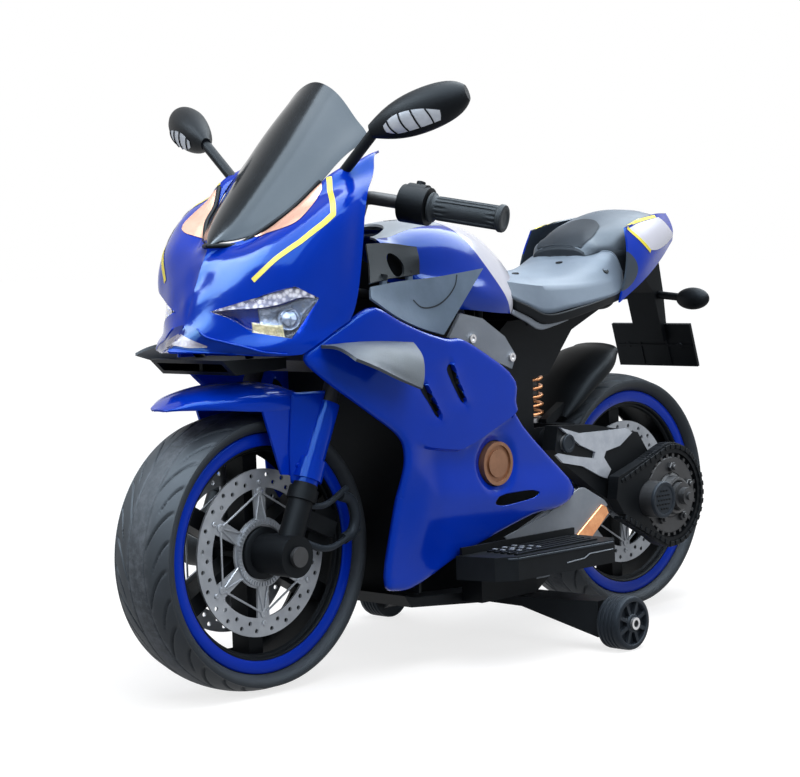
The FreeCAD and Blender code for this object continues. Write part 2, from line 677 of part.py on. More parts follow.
# Seat, tail and what carries them
seat_sections = [
    (-464, ((72, 304), (70, 318), (40, 328), (0, 332))), (-492,
                                                          ((103, 284), (100, 312), (55, 336), (0, 340))),
    (-560, ((105, 290), (101, 322), (55, 344), (0, 346))), (-630,
                                                            ((99, 300), (95, 334), (52, 352), (0, 354))),
    (-684, ((91, 309), (86, 350), (48, 366), (0, 368)))]
seat_face = skin([across([(x, y, z) for y, z in half]) for x, half in seat_sections])
seat_in = WALL * toward(seat_face, body(-570, 0, 280))
seat_tool = thick(seat_face, seat_in * (1 + GAP / WALL))
base_sections = [
    (-648, ((50, 361.5), (44, 369), (26, 375), (0, 377))), (-668,
                                                            ((60, 367), (54, 381), (34, 392), (0, 396))),
    (-690, ((72, 367), (64, 387), (40, 401), (0, 406))), (-712,
                                                          ((79, 369), (70, 395), (43, 409), (0, 416))),
    (-749, ((74, 381), (64, 408), (40, 421), (0, 428))), (-790,
                                                          ((66, 393), (56, 416), (35, 426), (0, 429.5))),
    (-846, ((42, 398), (36, 413), (22, 421), (0, 424)))]
base_face = skin([across([(x, y, z) for y, z in half]) for x, half in base_sections])
base_in = WALL * toward(base_face, body(-770, 0, 360))
base_tool = thick(base_face, base_in * (1 + GAP / WALL))
tail_rows = [
    [(-662, 102, 292), (-725, 98, 322), (-790, 82, 352), (-852, 58, 380)],
    [(-674, 105, 330), (-730, 102, 355), (-790, 86, 378), (-854, 58, 396)],
    [(-684, 102, 368), (-733, 96, 388), (-792, 80, 402), (-855, 52, 410)],
    [(-692, 92, 402), (-736, 82, 413), (-794, 68, 421), (-854, 45, 422)]]
tail_face = skin(tail_rows)
tail_in = toward(tail_face, body(-760, 0, 370))
tail_left = thick(tail_face, tail_in * WALL)
tail_tool_left = thick(tail_face, tail_in * (WALL + GAP))
tail_tool = Part.makeCompound([tail_tool_left, mirror(tail_tool_left)])
tank_rear = [(-380, 134), (-402, 111), (-457, 90), (-489, 66), (-501, 33), (-504.5, 0)]
tank_rear = tank_rear + [(x, -y) for x, y in reversed(tank_rear[:-1])]
tank_plan = polygon([body(x, y, 200) for x, y in tank_rear]).extrude(V(0, 0, 400))
seat_pad = one(thick(seat_face, seat_in).cut(tank_plan))
seat_base = thick(base_face, base_in)
put("seat_pad", seat_pad)
put("seat_base", seat_base)
put("tail_cowl", tail_left, mirror(tail_left))
lamp_tail = body_prism([(-847, 386), (-862, 393), (-861, 409), (-847, 411)], -33, 33)
put("tail_light", lamp_tail)

sub_outline = [(-442, 262), (-458, 274), (-506, 276), (-516, 303), (-664, 314), (-690, 330), (-690, 292),
               (-600, 255), (-545, 194), (-500, 190), (-452, 226)]
sub_front = body_prism(sub_outline, -60, 60)
sub_rear = body_prism([(-688, 330), (-846, 402), (-846, 372), (-800, 345), (-688, 292)], -34, 34)
sub_core = body_prism([(-460, 250), (-470, 294), (-684, 308), (-684, 340), (-470, 340), (-460, 320)],
                      -54, 54)
subframe = fuse(sub_front, sub_rear).cut(sub_core)
posts = []
for x, z in ((-502, 266), (-640, 296)):
    for s in (1, -1):
        posts.append(reach(body(x, s * 57, z), body(x, s * 57, 420), 5, seat_tool))
for x, z in ((-726, 330), (-800, 360)):
    posts.append(reach(body(x, 0, z), body(x, 0, 500), 7, base_tool))
for s in (1, -1):
    posts.append(reach(body(-760, s * 30, 352), body(-760, s * 140, 362), 6, tail_tool))
    posts.append(reach(body(-830, s * 30, 385), body(-830, s * 140, 388), 5, tail_tool))
posts.append(rod(body(-836, 0, 396), body(-846.65, 0, 396), 6))
subframe = one(fuse(subframe, *posts))
put("subframe", subframe)

# Number plate holder and rear signals
arm_outline = [(-800, 344.6), (-845, 371.4), (-853, 366), (-867, 300), (-876, 226), (-866, 222),
               (-842, 300)]
arm = body_prism(arm_outline, -27, 27)
PLATE_TILT = 17.0
plate = Part.makeBox(5, 152, 70, V(-5, -76, -70))
plate.rotate(ORIGIN, YHAT, PLATE_TILT)
plate.translate(body(-866, 0, 250))
PLATE_N = V(-math.cos(math.radians(PLATE_TILT)), 0, math.sin(math.radians(PLATE_TILT)))
plate_mid = body(-866, 0, 250) + V(-math.sin(math.radians(PLATE_TILT)), 0,
                                   -math.cos(math.radians(PLATE_TILT))) * 35
holder = fuse(arm, plate)
for s in (1, -1):
    c = plate_mid + V(0, s * 50, 0)
    holder = holder.cut(rod(c - PLATE_N * 30, c + PLATE_N * 30, 3.0))
print("holder solids", len(holder.Solids))
holder = one(holder.cut(subframe))
put("plate_holder", holder)
signals = []
for s in (1, -1):
    stalk = rod(body(-855, s * 27.3, 296), body(-855, s * 70, 292), 6)
    lens = Part.makeSphere(1.0)
    grow = FreeCAD.Matrix()
    grow.scale(V(13, 30, 17))
    lens = lens.transformGeometry(grow)
    lens.translate(body(-855, s * 92, 290))
    signals.append(one(fuse(stalk, lens)))
put("rear_signals", *signals)

# Main frame: a tub behind the front wheel, head tube, belly tray and stays to the panels
TUB_F = -(TYRE_R + 27)
TUB_R = REAR_IN_BODY + TYRE_R + 62
HALF = 62.0
tub_outline = [(TUB_F, -88), (TUB_F, 262), (TUB_F - 30, 296), (-420, 268), (TUB_R, 236), (TUB_R, -62),
               (TUB_R + 34, -88)]
tub = body_prism(tub_outline, -HALF, HALF)
core = body_prism([(TUB_F - 5, -80), (TUB_F - 5, 400), (TUB_R + 5, 400), (TUB_R + 5, -58),
                   (TUB_R + 36, -80)], -HALF + 5, HALF - 5)
tub = tub.cut(core)
belly_outline = [(-187, -76), (-200, -93), (-330, -105), (-455, -107), (-492, -84), (-492, -74),
                 (-455, -89), (-330, -89), (-208, -81)]
belly = body_prism(belly_outline, -104, 104)
belly_floor = body_prism([(-330, -89.5), (-330, -88), (-455, -88), (-455, -89.5)], -HALF, HALF)
s_low = along(288)
s_high = along(386)
head = rod(fork(s_low), fork(s_high), 23)
a = fork(s_low)
b = fork(s_high)
neck_outline = [(a.x, a.z + 4), (b.x, b.z - 4), (FRONT_X - 262, BODY_Z + 352),
                (FRONT_X - 330, BODY_Z + 270),
                (FRONT_X + TUB_F - 2, BODY_Z + 225), (FRONT_X + TUB_F - 2, BODY_Z + 270)]
neck = side_prism(neck_outline, -17, 17)
wall_plate = body_block(TUB_F - 4, TUB_F, -128, 128, -74, 250)
for s, tool in ((1, side_low_tool), (-1, mirror(side_low_tool))):
    wall_plate = near(wall_plate.cut(tool), body(TUB_F - 2, 0, 0))
lug_y0 = HALF - 6
lugs = []
for s in (1, -1):
    y0 = lug_y0 if s > 0 else -HALF
    lug = Part.makeCylinder(22, 6, V(PIVOT.x, y0, PIVOT.z), YHAT)
    link = block(PIVOT.x, FRONT_X + TUB_R + 10, y0, y0 + 6, PIVOT.z - 22, PIVOT.z + 22)
    lugs += [lug, link]
stays = []
for x, z in ((-235, 40), (-430, 60), (-235, -45)):
    for s in (1, -1):
        tool = side_low_tool if s > 0 else mirror(side_low_tool)
        stays.append(reach(body(x, s * 58, z), body(x, s * 190, z), 7, tool))
for x, z in ((-262, 225), (-350, 190)):
    for s in (1, -1):
        tool = side_tool if s > 0 else mirror(side_tool)
        stays.append(reach(body(x, s * 58, z), body(x, s * 190, z), 7, tool))
for s in (1, -1):
    nose_side = nose_tool_left if s > 0 else mirror(nose_tool_left)
    stays.append(reach(body(-222, s * 14, 322), body(10, s * 170, 336), 7, nose_side))
    stays.append(reach(body(-300, s * 58, 272), body(-300, s * 90, 460), 6,
                       Part.makeCompound([tank_tool])))
    stays.append(reach(body(-400, s * 58, 262), body(-400, s * 58, 460), 6,
                       Part.makeCompound([tank_tool])))
    duct_side = duct_tool if s > 0 else mirror(duct_tool)
    stays.append(reach(body(-262, s * 58, 268), body(-190, s * 175, 322), 6, duct_side))
    spar_side = spar if s > 0 else mirror(spar)
    stays.append(reach(body(-380, s * 58, 240), body(-380, s * 160, 240), 8, spar_side))
frame_all = fuse(tub, belly, belly_floor, head, neck, wall_plate, *(lugs + stays))
frame_all = frame_all.cut(rod(fork(s_low - 5), fork(s_high + 5), STEM_R + RUN))
BOLT_R = 8.0
frame_all = frame_all.cut(Part.makeCylinder(BOLT_R + RUN, 400, V(PIVOT.x, -200, PIVOT.z), YHAT))
frame_all = frame_all.cut(subframe)
print("frame solids", len(frame_all.Solids))
main_frame = one(frame_all)
put("main_frame", main_frame)
chin = body_prism([(88, 252), (66, 232), (-20, 236), (-20, 250)], -70, 70)
chin_hollow = body_prism([(200, 247), (50, 247), (-14, 246), (-14, 240), (60, 236.5), (200, 236.5)], -62,
                         62)
chin = chin.cut(chin_hollow)
rib = body_block(-18, 62, -3, 3, 233, 250)
chin_posts = []
for s in (1, -1):
    nose_side = nose_tool_left if s > 0 else mirror(nose_tool_left)
    chin_posts.append(reach(body(16, s * 44, 246), body(104, s * 92, 340), 5, nose_side))
chin = one(fuse(chin, rib.common(body_prism([(88, 252), (66, 232), (-20, 236), (-20, 250)], -70, 70)),
                *chin_posts))
put("chin_intake", chin)
battery = body_block(-440, -330, -50, 50, -79.6, 20)
put("battery", battery)
put("control_box", body_block(-318, -240, -45, 45, -79.6, -20))

# Footrests, heel guards and stabilisers
foot_outline = [(-262, 129), (-276, 186), (-302, 205), (-498, 212), (-510, 200), (-508, 129)]
foot_face = polygon([body(x, y, -62) for x, y in foot_outline])
foot = foot_face.extrude(V(0, 0, 32))
inner_outline = [(-268, 133), (-281, 183), (-304, 200), (-496, 207), (-505, 198), (-504, 133)]
foot = foot.cut(polygon([body(x, y, -63) for x, y in inner_outline]).extrude(V(0, 0, 28)))
lip = body_block(-507, -270, 129, 133, -40, -20)
tongue = body_block(-414, -300, 104.3, 140, -98, -58)
ribs = []
for i in range(5):
    ribs.append(body_block(-480, -310, 142 + 12 * i, 148 + 12 * i, -31, -27.5))
foot = one(fuse(foot, lip, tongue, *ribs))
put("footrests", foot, mirror(foot))
guard_outline = [(-390, -24), (-470, 4), (-541, 30), (-578, 12), (-590, 0), (-542, -38), (-506, -44),
                 (-478, -88), (-440, -88), (-420, -40)]
guard = body_prism(guard_outline, 104.3, 109)
put("heel_guards", guard, mirror(guard))

STAB_X = -113.0
STAB_IN = STAB_Y
STAB_OUT = STAB_Y + STAB_W


def stab_bracket():
    foot_z = BODY_Z - 107.4
    inner = polygon([V(-95, 58, foot_z - 10), V(-25, 58, foot_z - 10), V(-25, 58, foot_z),
                     V(-95, 58, foot_z)])
    mid = polygon([V(-105, 110, foot_z - 14), V(-40, 110, foot_z - 14), V(-40, 110, foot_z - 1),
                   V(-105, 110, foot_z - 1)])
    y1 = STAB_IN - 6
    outer = polygon([V(STAB_X - 22, y1, STAB_R - 20), V(STAB_X + 26, y1, STAB_R - 20),
                     V(STAB_X + 24, y1, STAB_R + 30), V(STAB_X - 18, y1, STAB_R + 30)])
    loft = Part.makeLoft([f.OuterWire for f in (inner, mid, outer)], True, True)
    pad = block(-95, -25, 20, 59, foot_z - 10, foot_z)
    stub = Part.makeCylinder(5, STAB_OUT + 3 - y1 + 1, V(STAB_X, y1 - 1, STAB_R), YHAT)
    return one(fuse(loft, pad, stub))


bracket = stab_bracket()
put("stabiliser_brackets", bracket, mirror(bracket))


def stab_wheel():
    y0 = STAB_IN
    y1 = STAB_OUT
    c = V(STAB_X, 0, STAB_R)
    wheel = Part.makeCylinder(STAB_R, y1 - y0, V(c.x, y0, c.z), YHAT)
    wheel = wheel.cut(Part.makeCylinder(STAB_R - 8, 9, V(c.x, y1 - 9, c.z), YHAT))
    hub = Part.makeCylinder(13, y1 - y0, V(c.x, y0, c.z), YHAT)
    wheel = fuse(wheel, hub)
    for i in range(8):
        t = math.radians(45 * i)
        wheel = wheel.cut(Part.makeCylinder(3.6, 60,
                                            V(c.x + 20.5 * math.cos(t), y0 - 5,
                                              c.z + 20.5 * math.sin(t)), YHAT))
    return one(wheel.cut(Part.makeCylinder(5 + RUN, 80, V(c.x, y0 - 10, c.z), YHAT)))


roller = stab_wheel()
put("stabiliser_wheel_left", roller)
put("stabiliser_wheel_right", mirror(roller))
bolts = []
for s in (1, -1):
    y = STAB_OUT + 0.4
    cap = Part.makeCylinder(8.5, 4, V(STAB_X, y, STAB_R),
                            YHAT).cut(Part.makeCylinder(5.02, 10, V(STAB_X, y - 3, STAB_R), YHAT))
    bolts.append(cap if s > 0 else mirror(cap))
    for x, z in ((-396, 228), (-316, 258)):
        p = body(x, SPAR_Y + 0.1, z)
        head_bolt = Part.makeCylinder(6, 4, p, YHAT).cut(Part.makeCylinder(3, 3, p + V(0, 2, 0), YHAT))
        head_bolt = head_bolt.cut(side_tool)
        bolts.append(one(head_bolt) if s > 0 else mirror(one(head_bolt)))

# Swingarm and what it carries
BRIDGE_X1 = PIVOT.x - 26
BRIDGE_X0 = PIVOT.x - 50
BRIDGE_Z1 = PIVOT.z + 24
arm_side = [(PIVOT.x + 16, PIVOT.z + 26), (PIVOT.x - 60, PIVOT.z + 22), (REAR_X + 50, AXLE_Z + 98),
            (REAR_X + 10, AXLE_Z + 46),
            (REAR_X - 34, AXLE_Z + 22), (REAR_X - 38, AXLE_Z - 20), (REAR_X - 10,
                                                                     AXLE_Z - 36), (REAR_X + 60,
                                                                                    AXLE_Z - 32),
            (PIVOT.x - 64, AXLE_Z + 22), (PIVOT.x + 4, PIVOT.z - 30), (PIVOT.x + 24, PIVOT.z - 8)]
arms = []
for s in (1, -1):
    y0 = ARM_Y0 if s > 0 else -ARM_Y1
    plate_arm = side_prism(arm_side, y0, y0 + ARM_Y1 - ARM_Y0)
    p0 = HALF + GAP if s > 0 else -ARM_Y0 - 1
    boss = Part.makeCylinder(20, ARM_Y0 + 1 - HALF - GAP, V(PIVOT.x, p0, PIVOT.z), YHAT)
    arms += [plate_arm, boss]
bridge = block(BRIDGE_X0, BRIDGE_X1, -ARM_Y0 - 1, ARM_Y0 + 1, PIVOT.z - 12, BRIDGE_Z1)
swingarm = fuse(bridge, *arms)
swingarm = swingarm.cut(Part.makeCylinder(BOLT_R + RUN, 400, V(PIVOT.x, -200, PIVOT.z), YHAT))
swingarm = swingarm.cut(axle_rod(REAR_X, -200, 200, AXLE_R + RUN))
swingarm = swingarm.cut(Part.makeCylinder(4.6, 200, V(MOTOR_X, 0, MOTOR_Z), YHAT))
put("swingarm", one(swingarm))
bolt = Part.makeCylinder(BOLT_R, 2 * ARM_Y1 + 2, V(PIVOT.x, -ARM_Y1 - 1, PIVOT.z), YHAT)
bolt_heads = [Part.makeCylinder(13, 5, V(PIVOT.x, ARM_Y1 + 0.5, PIVOT.z), YHAT),
              Part.makeCylinder(13, 5, V(PIVOT.x, -ARM_Y1 - 5.5, PIVOT.z), YHAT)]
put("screws", fuse(bolt, *bolt_heads), *bolts)
trim_star = [(16, 24), (-28, 12), (-138, 10), (-150, 3), (-120, -14), (-87, -19), (-82, -28), (-98, -47),
             (-88, -59), (-72, -54), (-33, -36), (11, -27), (26, -15), (18, -13), (-16, -20), (-59, -27),
             (-62, -18), (-28, -5), (-6, 10)]
trim_outline = [(PIVOT.x + x, PIVOT.z + z) for x, z in trim_star]
trim = side_prism(trim_outline, ARM_Y1 + 0.2, ARM_Y1 + 4)
trim = trim.cut(Part.makeCylinder(14, 100, V(PIVOT.x, ARM_Y1 - 10, PIVOT.z), YHAT))
trim = trim.cut(Part.makeCylinder(27.4, 100, V(MOTOR_X, ARM_Y1 - 10, MOTOR_Z), YHAT))
put("swingarm_trims", one(trim), mirror(one(trim)))
COVER_R = 0.43 * TYRE_R
cover_y0 = ARM_Y1 + 6
cover = axle_rod(REAR_X, cover_y0, cover_y0 + 18, COVER_R)
wedge = side_prism([(REAR_X - 2, AXLE_Z + COVER_R), (REAR_X + 128, AXLE_Z + 40),
                    (REAR_X + 134, AXLE_Z + 8),
                    (REAR_X + 118, AXLE_Z - 14), (REAR_X - 2, AXLE_Z - COVER_R)], cover_y0, cover_y0 + 18)
neck_ring = axle_rod(REAR_X, ARM_Y1 + 0.2, cover_y0 + 1, 30)
cover = fuse(cover, wedge, neck_ring)
cover_core = axle_rod(REAR_X, cover_y0 + 12, cover_y0 + 30, COVER_R - 14)
cover = cover.cut(cover_core).cut(axle_rod(REAR_X, ARM_Y1 - 5, ARM_Y1 + 60, AXLE_R + 0.1))
cover = cover.cut(Part.makeCylinder(27.4, 100, V(MOTOR_X, ARM_Y1 - 5, MOTOR_Z), YHAT))
put("chain_cover", one(cover.cut(trim)))
hub_y = cover_y0 + 12.3
rear_parts = [axle_rod(REAR_X, -ARM_Y1 - 4, hub_y + 40, AXLE_R), axle_rod(REAR_X, hub_y, hub_y + 26, 20),
              axle_rod(REAR_X, hub_y + 26, hub_y + 36, 13),
              axle_rod(REAR_X, -ARM_Y1 - 9, -ARM_Y1 - 0.4, 13)]
put("rear_axle", one(fuse(*rear_parts).cut(Part.makeCylinder(27.4, 100, V(MOTOR_X, ARM_Y1 - 5, MOTOR_Z),
                                                             YHAT))))
H_HALF = TYRE_W / 2 + 6
hugger = arch(REAR_X, [(40, H_HALF - 14, TYRE_R + 22, TYRE_R + 12),
                       (48, H_HALF - 6, TYRE_R + 30, TYRE_R + 10), (60, H_HALF, TYRE_R + 40, TYRE_R + 12),
                       (75, H_HALF - 2, TYRE_R + 48, TYRE_R + 20), (84, H_HALF - 16, TYRE_R + 50,
                                                                    TYRE_R + 34)], WALL)
tab_x = REAR_X + (TYRE_R + 24) * math.cos(math.radians(44))
tab_z = AXLE_Z + (TYRE_R + 24) * math.sin(math.radians(44))
tab_outline = [(BRIDGE_X1 - 4, BRIDGE_Z1 + 0.3), (BRIDGE_X1 - 4, BRIDGE_Z1 + 6), (tab_x, tab_z + 6),
               (tab_x - 6, tab_z - 3), (BRIDGE_X0, BRIDGE_Z1 + 0.3)]
tabs = [side_prism(tab_outline, 26, 40), side_prism(tab_outline, -40, -26)]
put("hugger", one(fuse(hugger, *tabs)))

# Shock absorber with a real coil
SHOCK_X = (BRIDGE_X0 + BRIDGE_X1) / 2
shock_z0 = BRIDGE_Z1 + 0.3
seat_low = shock_z0 + 6
seat_high = seat_low + 70
shock_base = Part.makeCylinder(24, 6, V(SHOCK_X, 0, shock_z0))
shock_stick = Part.makeCylinder(4, 50, V(SHOCK_X, 0, shock_z0))
put("shock_rod", fuse(shock_base, shock_stick))
can_up = Part.makeCylinder(15, 160, V(SHOCK_X, 0, seat_low + 34))
flange = Part.makeCylinder(24, 5, V(SHOCK_X, 0, seat_high))
upper_part = fuse(can_up, flange).cut(Part.makeCylinder(12.5, 40, V(SHOCK_X, 0, seat_low + 30)))
upper_part = near(upper_part.cut(subframe), V(SHOCK_X, 0, seat_high))
put("shock_upper", upper_part)


def coil(x0, z0, z1, radius, wire, turns):
    lead = 2 * wire
    low = z0 + wire + 0.95
    high = z1 - wire - 0.95
    climb = high - low

    def at(a):
        return V(x0 + radius * math.cos(a), radius * math.sin(a), low + climb * a / (2 * math.pi * turns))

    def tangent(a):
        t = V(-radius * math.sin(a), radius * math.cos(a), climb / (2 * math.pi * turns))
        t.normalize()
        return t

    def arc(p, t, q):
        chord = q - p
        u = V(chord.x, chord.y, chord.z)
        u.normalize()
        side = t - u * t.dot(u)
        angle = math.acos(max(-1.0, min(1.0, t.dot(u))))
        side.normalize()
        return Part.Arc(p, (p + q) * 0.5 + side * (chord.Length / 2 * math.tan(angle / 2)), q).toShape()

    steps = int(turns * 4)
    total = 2 * math.pi * turns
    first = at(0) - tangent(0) * lead
    edges = [Part.makeLine(first, at(0))]
    samples = []
    for i in range(steps):
        a0 = total * i / steps
        a1 = total * (i + 1) / steps
        p0, p1, t0, t1 = at(a0), at(a1), tangent(a0), tangent(a1)
        v = p1 - p0
        w = t0 + t1
        k = 2 * (1 - t0.dot(t1))
        d = (-v.dot(w) + math.sqrt(v.dot(w) ** 2 + k * v.dot(v))) / k
        q0 = p0 + t0 * d
        q1 = p1 - t1 * d
        joint = (q0 + q1) * 0.5
        mid_t = q1 - q0
        mid_t.normalize()
        edges.append(arc(p0, t0, joint))
        edges.append(arc(joint, mid_t, p1))
    last = at(total) + tangent(total) * lead
    edges.append(Part.makeLine(at(total), last))
    count = 60 * int(turns)
    for i in range(count + 1):
        samples.append(at(total * i / count))
    least = 1e9
    for i in range(len(samples)):
        for j in range(i + 40, len(samples)):
            least = min(least, (samples[i] - samples[j]).Length)
    print("coil least gap between turns: %.2f mm" % (least - 2 * wire))
    path = Part.Wire(edges)
    profile = Part.Wire([Part.makeCircle(wire, first, tangent(0))])
    return one(path.makePipeShell([profile], True, False))


put("shock_spring", coil(SHOCK_X, seat_low, seat_high, COIL_R, WIRE_R, 5))

# Mirrors: a stem with a peg in the cowl, a shell and its glass
MIRROR_BASE = (-98, 110, 486)
MIRROR_NECK = (-100, 164, 533)
mirror_dir = body(*MIRROR_NECK) - body(*MIRROR_BASE)
mirror_dir.normalize()


def mirror_shape():
    base = body(*MIRROR_BASE)
    root = base - mirror_dir * 34
    stem = rod(root, body(*MIRROR_NECK), 7)
    tip = body(-150, 274, 573)
    start = body(*MIRROR_NECK)
    axis = tip - start
    length = axis.Length
    axis.normalize()
    thin = V(0.82, 0.56, 0.0)
    thin = thin - axis * thin.dot(axis)
    thin.normalize()
    tall = axis.cross(thin)
    wires = []
    for t, wide, high in ((-0.06, 7, 9), (0.08, 14, 17), (0.35, 24, 26), (0.65, 25, 27), (0.88, 19, 21),
                          (1.0, 8, 10)):
        c = start + axis * (length * t)
        points = []
        for i in range(12):
            a = 2 * math.pi * i / 12
            points.append(c + thin * (wide * math.cos(a)) + tall * (high * math.sin(a)))
        curve = Part.BSplineCurve()
        curve.interpolate(points, PeriodicFlag=True)
        wires.append(Part.Wire([curve.toShape()]))
    shell = Part.makeLoft(wires, True, False)
    back = start + axis * (length * 0.52) - thin * 12
    cutter = Part.makeBox(300, 300, 60, V(-150, -150, -60))
    cutter.Placement = FreeCAD.Placement(back, FreeCAD.Rotation(V(0, 0, 1), thin))
    shell = one(shell.cut(cutter))
    glass_cut = Part.makeBox(300, 300, 3, V(-150, -150, -2.6))
    glass_cut.Placement = FreeCAD.Placement(back, FreeCAD.Rotation(V(0, 0, 1), thin))
    full = Part.makeLoft(wires, True, False)
    glass = one(full.common(glass_cut))
    whole = fuse(stem, shell)
    return one(whole.cut(glass)), glass


stem_shell, glass = mirror_shape()
cowl_hole = rod(body(*MIRROR_BASE) - mirror_dir * 60, body(*MIRROR_BASE) + mirror_dir * 40, 7 + RUN)
nose_left = one(nose_left.cut(cowl_hole))
put("nose_cowl", nose_left, mirror(nose_left))
put("mirror_left", stem_shell, glass)
put("mirror_right", mirror(stem_shell), mirror(glass))

for name in sorted(NODES):
    solids = NODES[name]
    bad = [s for s in solids if not s.isValid() or s.Volume <= 0]
    if bad:
        print("not valid:", name, len(bad))
    shape = solids[0] if len(solids) == 1 else Part.makeCompound(solids)
    shape.exportStep("parts/" + name + ".step")
whole = Part.makeCompound([s for solids in NODES.values() for s in solids])
box = whole.BoundBox
print(len(NODES), "nodes, box", [round(v, 1) for v in (box.XMin, box.YMin, box.ZMin, box.XMax, box.YMax,
                                                       box.ZMax)])
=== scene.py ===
# %% [markdown]
# # A child's electric motorbike
# This lesson dresses a packed mechanical model of a small ride-on sport motorbike.
# The mechanical model gives every panel, axle and wheel its place.
# The looks added here ride on those bodies: tread, rings, lamps, stripes, links and screws.
# Lengths are in metres, +X is forward, +Y is the rider's left and +Z is up.

# %% Load the mechanical model
from math import cos, hypot, pi, radians, sin, tanh
import bmesh
import bpy
import numpy as np
from mathutils import Matrix, Vector
from mathutils.bvhtree import BVHTree
from mathutils.geometry import delaunay_2d_cdt


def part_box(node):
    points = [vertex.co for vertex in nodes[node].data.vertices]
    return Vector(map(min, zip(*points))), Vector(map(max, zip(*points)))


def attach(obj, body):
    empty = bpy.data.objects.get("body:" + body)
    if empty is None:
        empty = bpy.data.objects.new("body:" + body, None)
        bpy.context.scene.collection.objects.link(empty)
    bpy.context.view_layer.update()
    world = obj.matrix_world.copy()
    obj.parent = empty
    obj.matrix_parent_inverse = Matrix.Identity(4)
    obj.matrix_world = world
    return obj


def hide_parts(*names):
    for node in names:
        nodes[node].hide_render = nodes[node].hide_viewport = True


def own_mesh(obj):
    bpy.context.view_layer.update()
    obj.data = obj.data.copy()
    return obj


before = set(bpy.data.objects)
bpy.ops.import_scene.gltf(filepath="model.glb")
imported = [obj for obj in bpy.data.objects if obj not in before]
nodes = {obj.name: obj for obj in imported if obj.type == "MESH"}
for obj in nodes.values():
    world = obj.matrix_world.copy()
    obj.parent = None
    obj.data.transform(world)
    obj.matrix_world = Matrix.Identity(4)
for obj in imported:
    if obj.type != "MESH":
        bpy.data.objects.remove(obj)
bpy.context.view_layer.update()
FRONT_AXLE = Vector((0.375, 0.0, 0.180))
REAR_AXLE = Vector((-0.375, 0.0, 0.180))

# %% [markdown]
# ## The camera
# The view was solved from both wheel rims, the brake discs and mirrored points of the nose.
# A long lens stands ahead of the bike and on its left, a little above the axles.


# %% Camera
def configure(thing, **settings):
    for key, value in settings.items():
        setattr(thing, key, value)
    return thing


def placed(name, data):
    thing = bpy.data.objects.new(name, data)
    bpy.context.scene.collection.objects.link(thing)
    return thing


azimuth = radians(134.02)
elevation = radians(3.96)
roll = radians(-1.75)
CAMERA_AT = (2.22554, 2.07631, 0.57552)
flat = cos(elevation)
back = Vector((sin(azimuth) * flat, -cos(azimuth) * flat, sin(elevation)))
level = Vector((cos(azimuth), sin(azimuth), 0.0))
above = back.cross(level)
cam_right = level * cos(roll) + above * sin(roll)
cam_up = above * cos(roll) - level * sin(roll)
lens = configure(bpy.data.cameras.new("long_lens"), lens=97.46, sensor_width=36.0, clip_end=60.0)
camera = placed("long_lens", lens)
camera.matrix_world = Matrix((
    (cam_right.x, cam_up.x, back.x, CAMERA_AT[0]),
    (cam_right.y, cam_up.y, back.y, CAMERA_AT[1]),
    (cam_right.z, cam_up.z, back.z, CAMERA_AT[2]),
    (0.0, 0.0, 0.0, 1.0)))
bpy.context.scene.camera = camera
print("camera lens", lens.lens)

# %% [markdown]
# ## A small language for finishes
# A finish is a node tree, and writing one link by link hides what it means.
# A wire stands for one output, so ordinary arithmetic on wires builds the value nodes.
# Everything else comes from one method that takes the node type, its settings and its inputs.


# %% Wires, networks and finishes
def operator(operation, swapped=False):
    def act(self, other=0.0):
        a, b = (other, self) if swapped else (self, other)
        return self.network.node("Math", {0: a, 1: b}, operation=operation)
    return act


class Wire:
    __add__ = __radd__ = operator("ADD")
    __mul__ = __rmul__ = operator("MULTIPLY")
    __sub__ = operator("SUBTRACT")
    __rsub__ = operator("SUBTRACT", True)
    __truediv__ = operator("DIVIDE")
    __pow__ = operator("POWER")
    __lt__ = operator("LESS_THAN")
    most = operator("MAXIMUM")
    size = operator("ABSOLUTE")

    def __init__(self, network, socket):
        self.network = network
        self.socket = socket

    def ramp(self, low, high):
        inputs = {"Value": self, "From Min": low, "From Max": high}
        return self.network.node("MapRange", inputs, interpolation_type="SMOOTHSTEP")

    def between(self, a, b):
        return self.network.node("Mix", {0: self, 6: a, 7: b}, 2, data_type="RGBA")


class Network:
    def __init__(self, owner):
        owner.use_nodes = True
        self.tree = owner.node_tree

    def node(self, kind, inputs, output=0, **settings):
        made = configure(self.tree.nodes.new("ShaderNode" + kind), **settings)
        for key, value in inputs.items():
            self.feed(made.inputs[key], value)
        return Wire(self, made.outputs[output])

    def feed(self, socket, value):
        if isinstance(value, Wire):
            self.tree.links.new(value.socket, socket)
        elif isinstance(value, tuple) and len(value) == 3 and socket.type == "RGBA":
            socket.default_value = (*value, 1.0)
        else:
            socket.default_value = value

    def ray(self, kind):
        return self.node("LightPath", {}, kind)

    def seen(self):
        # One where the eye looks straight at it, in a reflection or through glass
        return self.ray("Is Camera Ray").most(self.ray("Is Glossy Ray")).most(self.ray("Is Transmission Ray"))


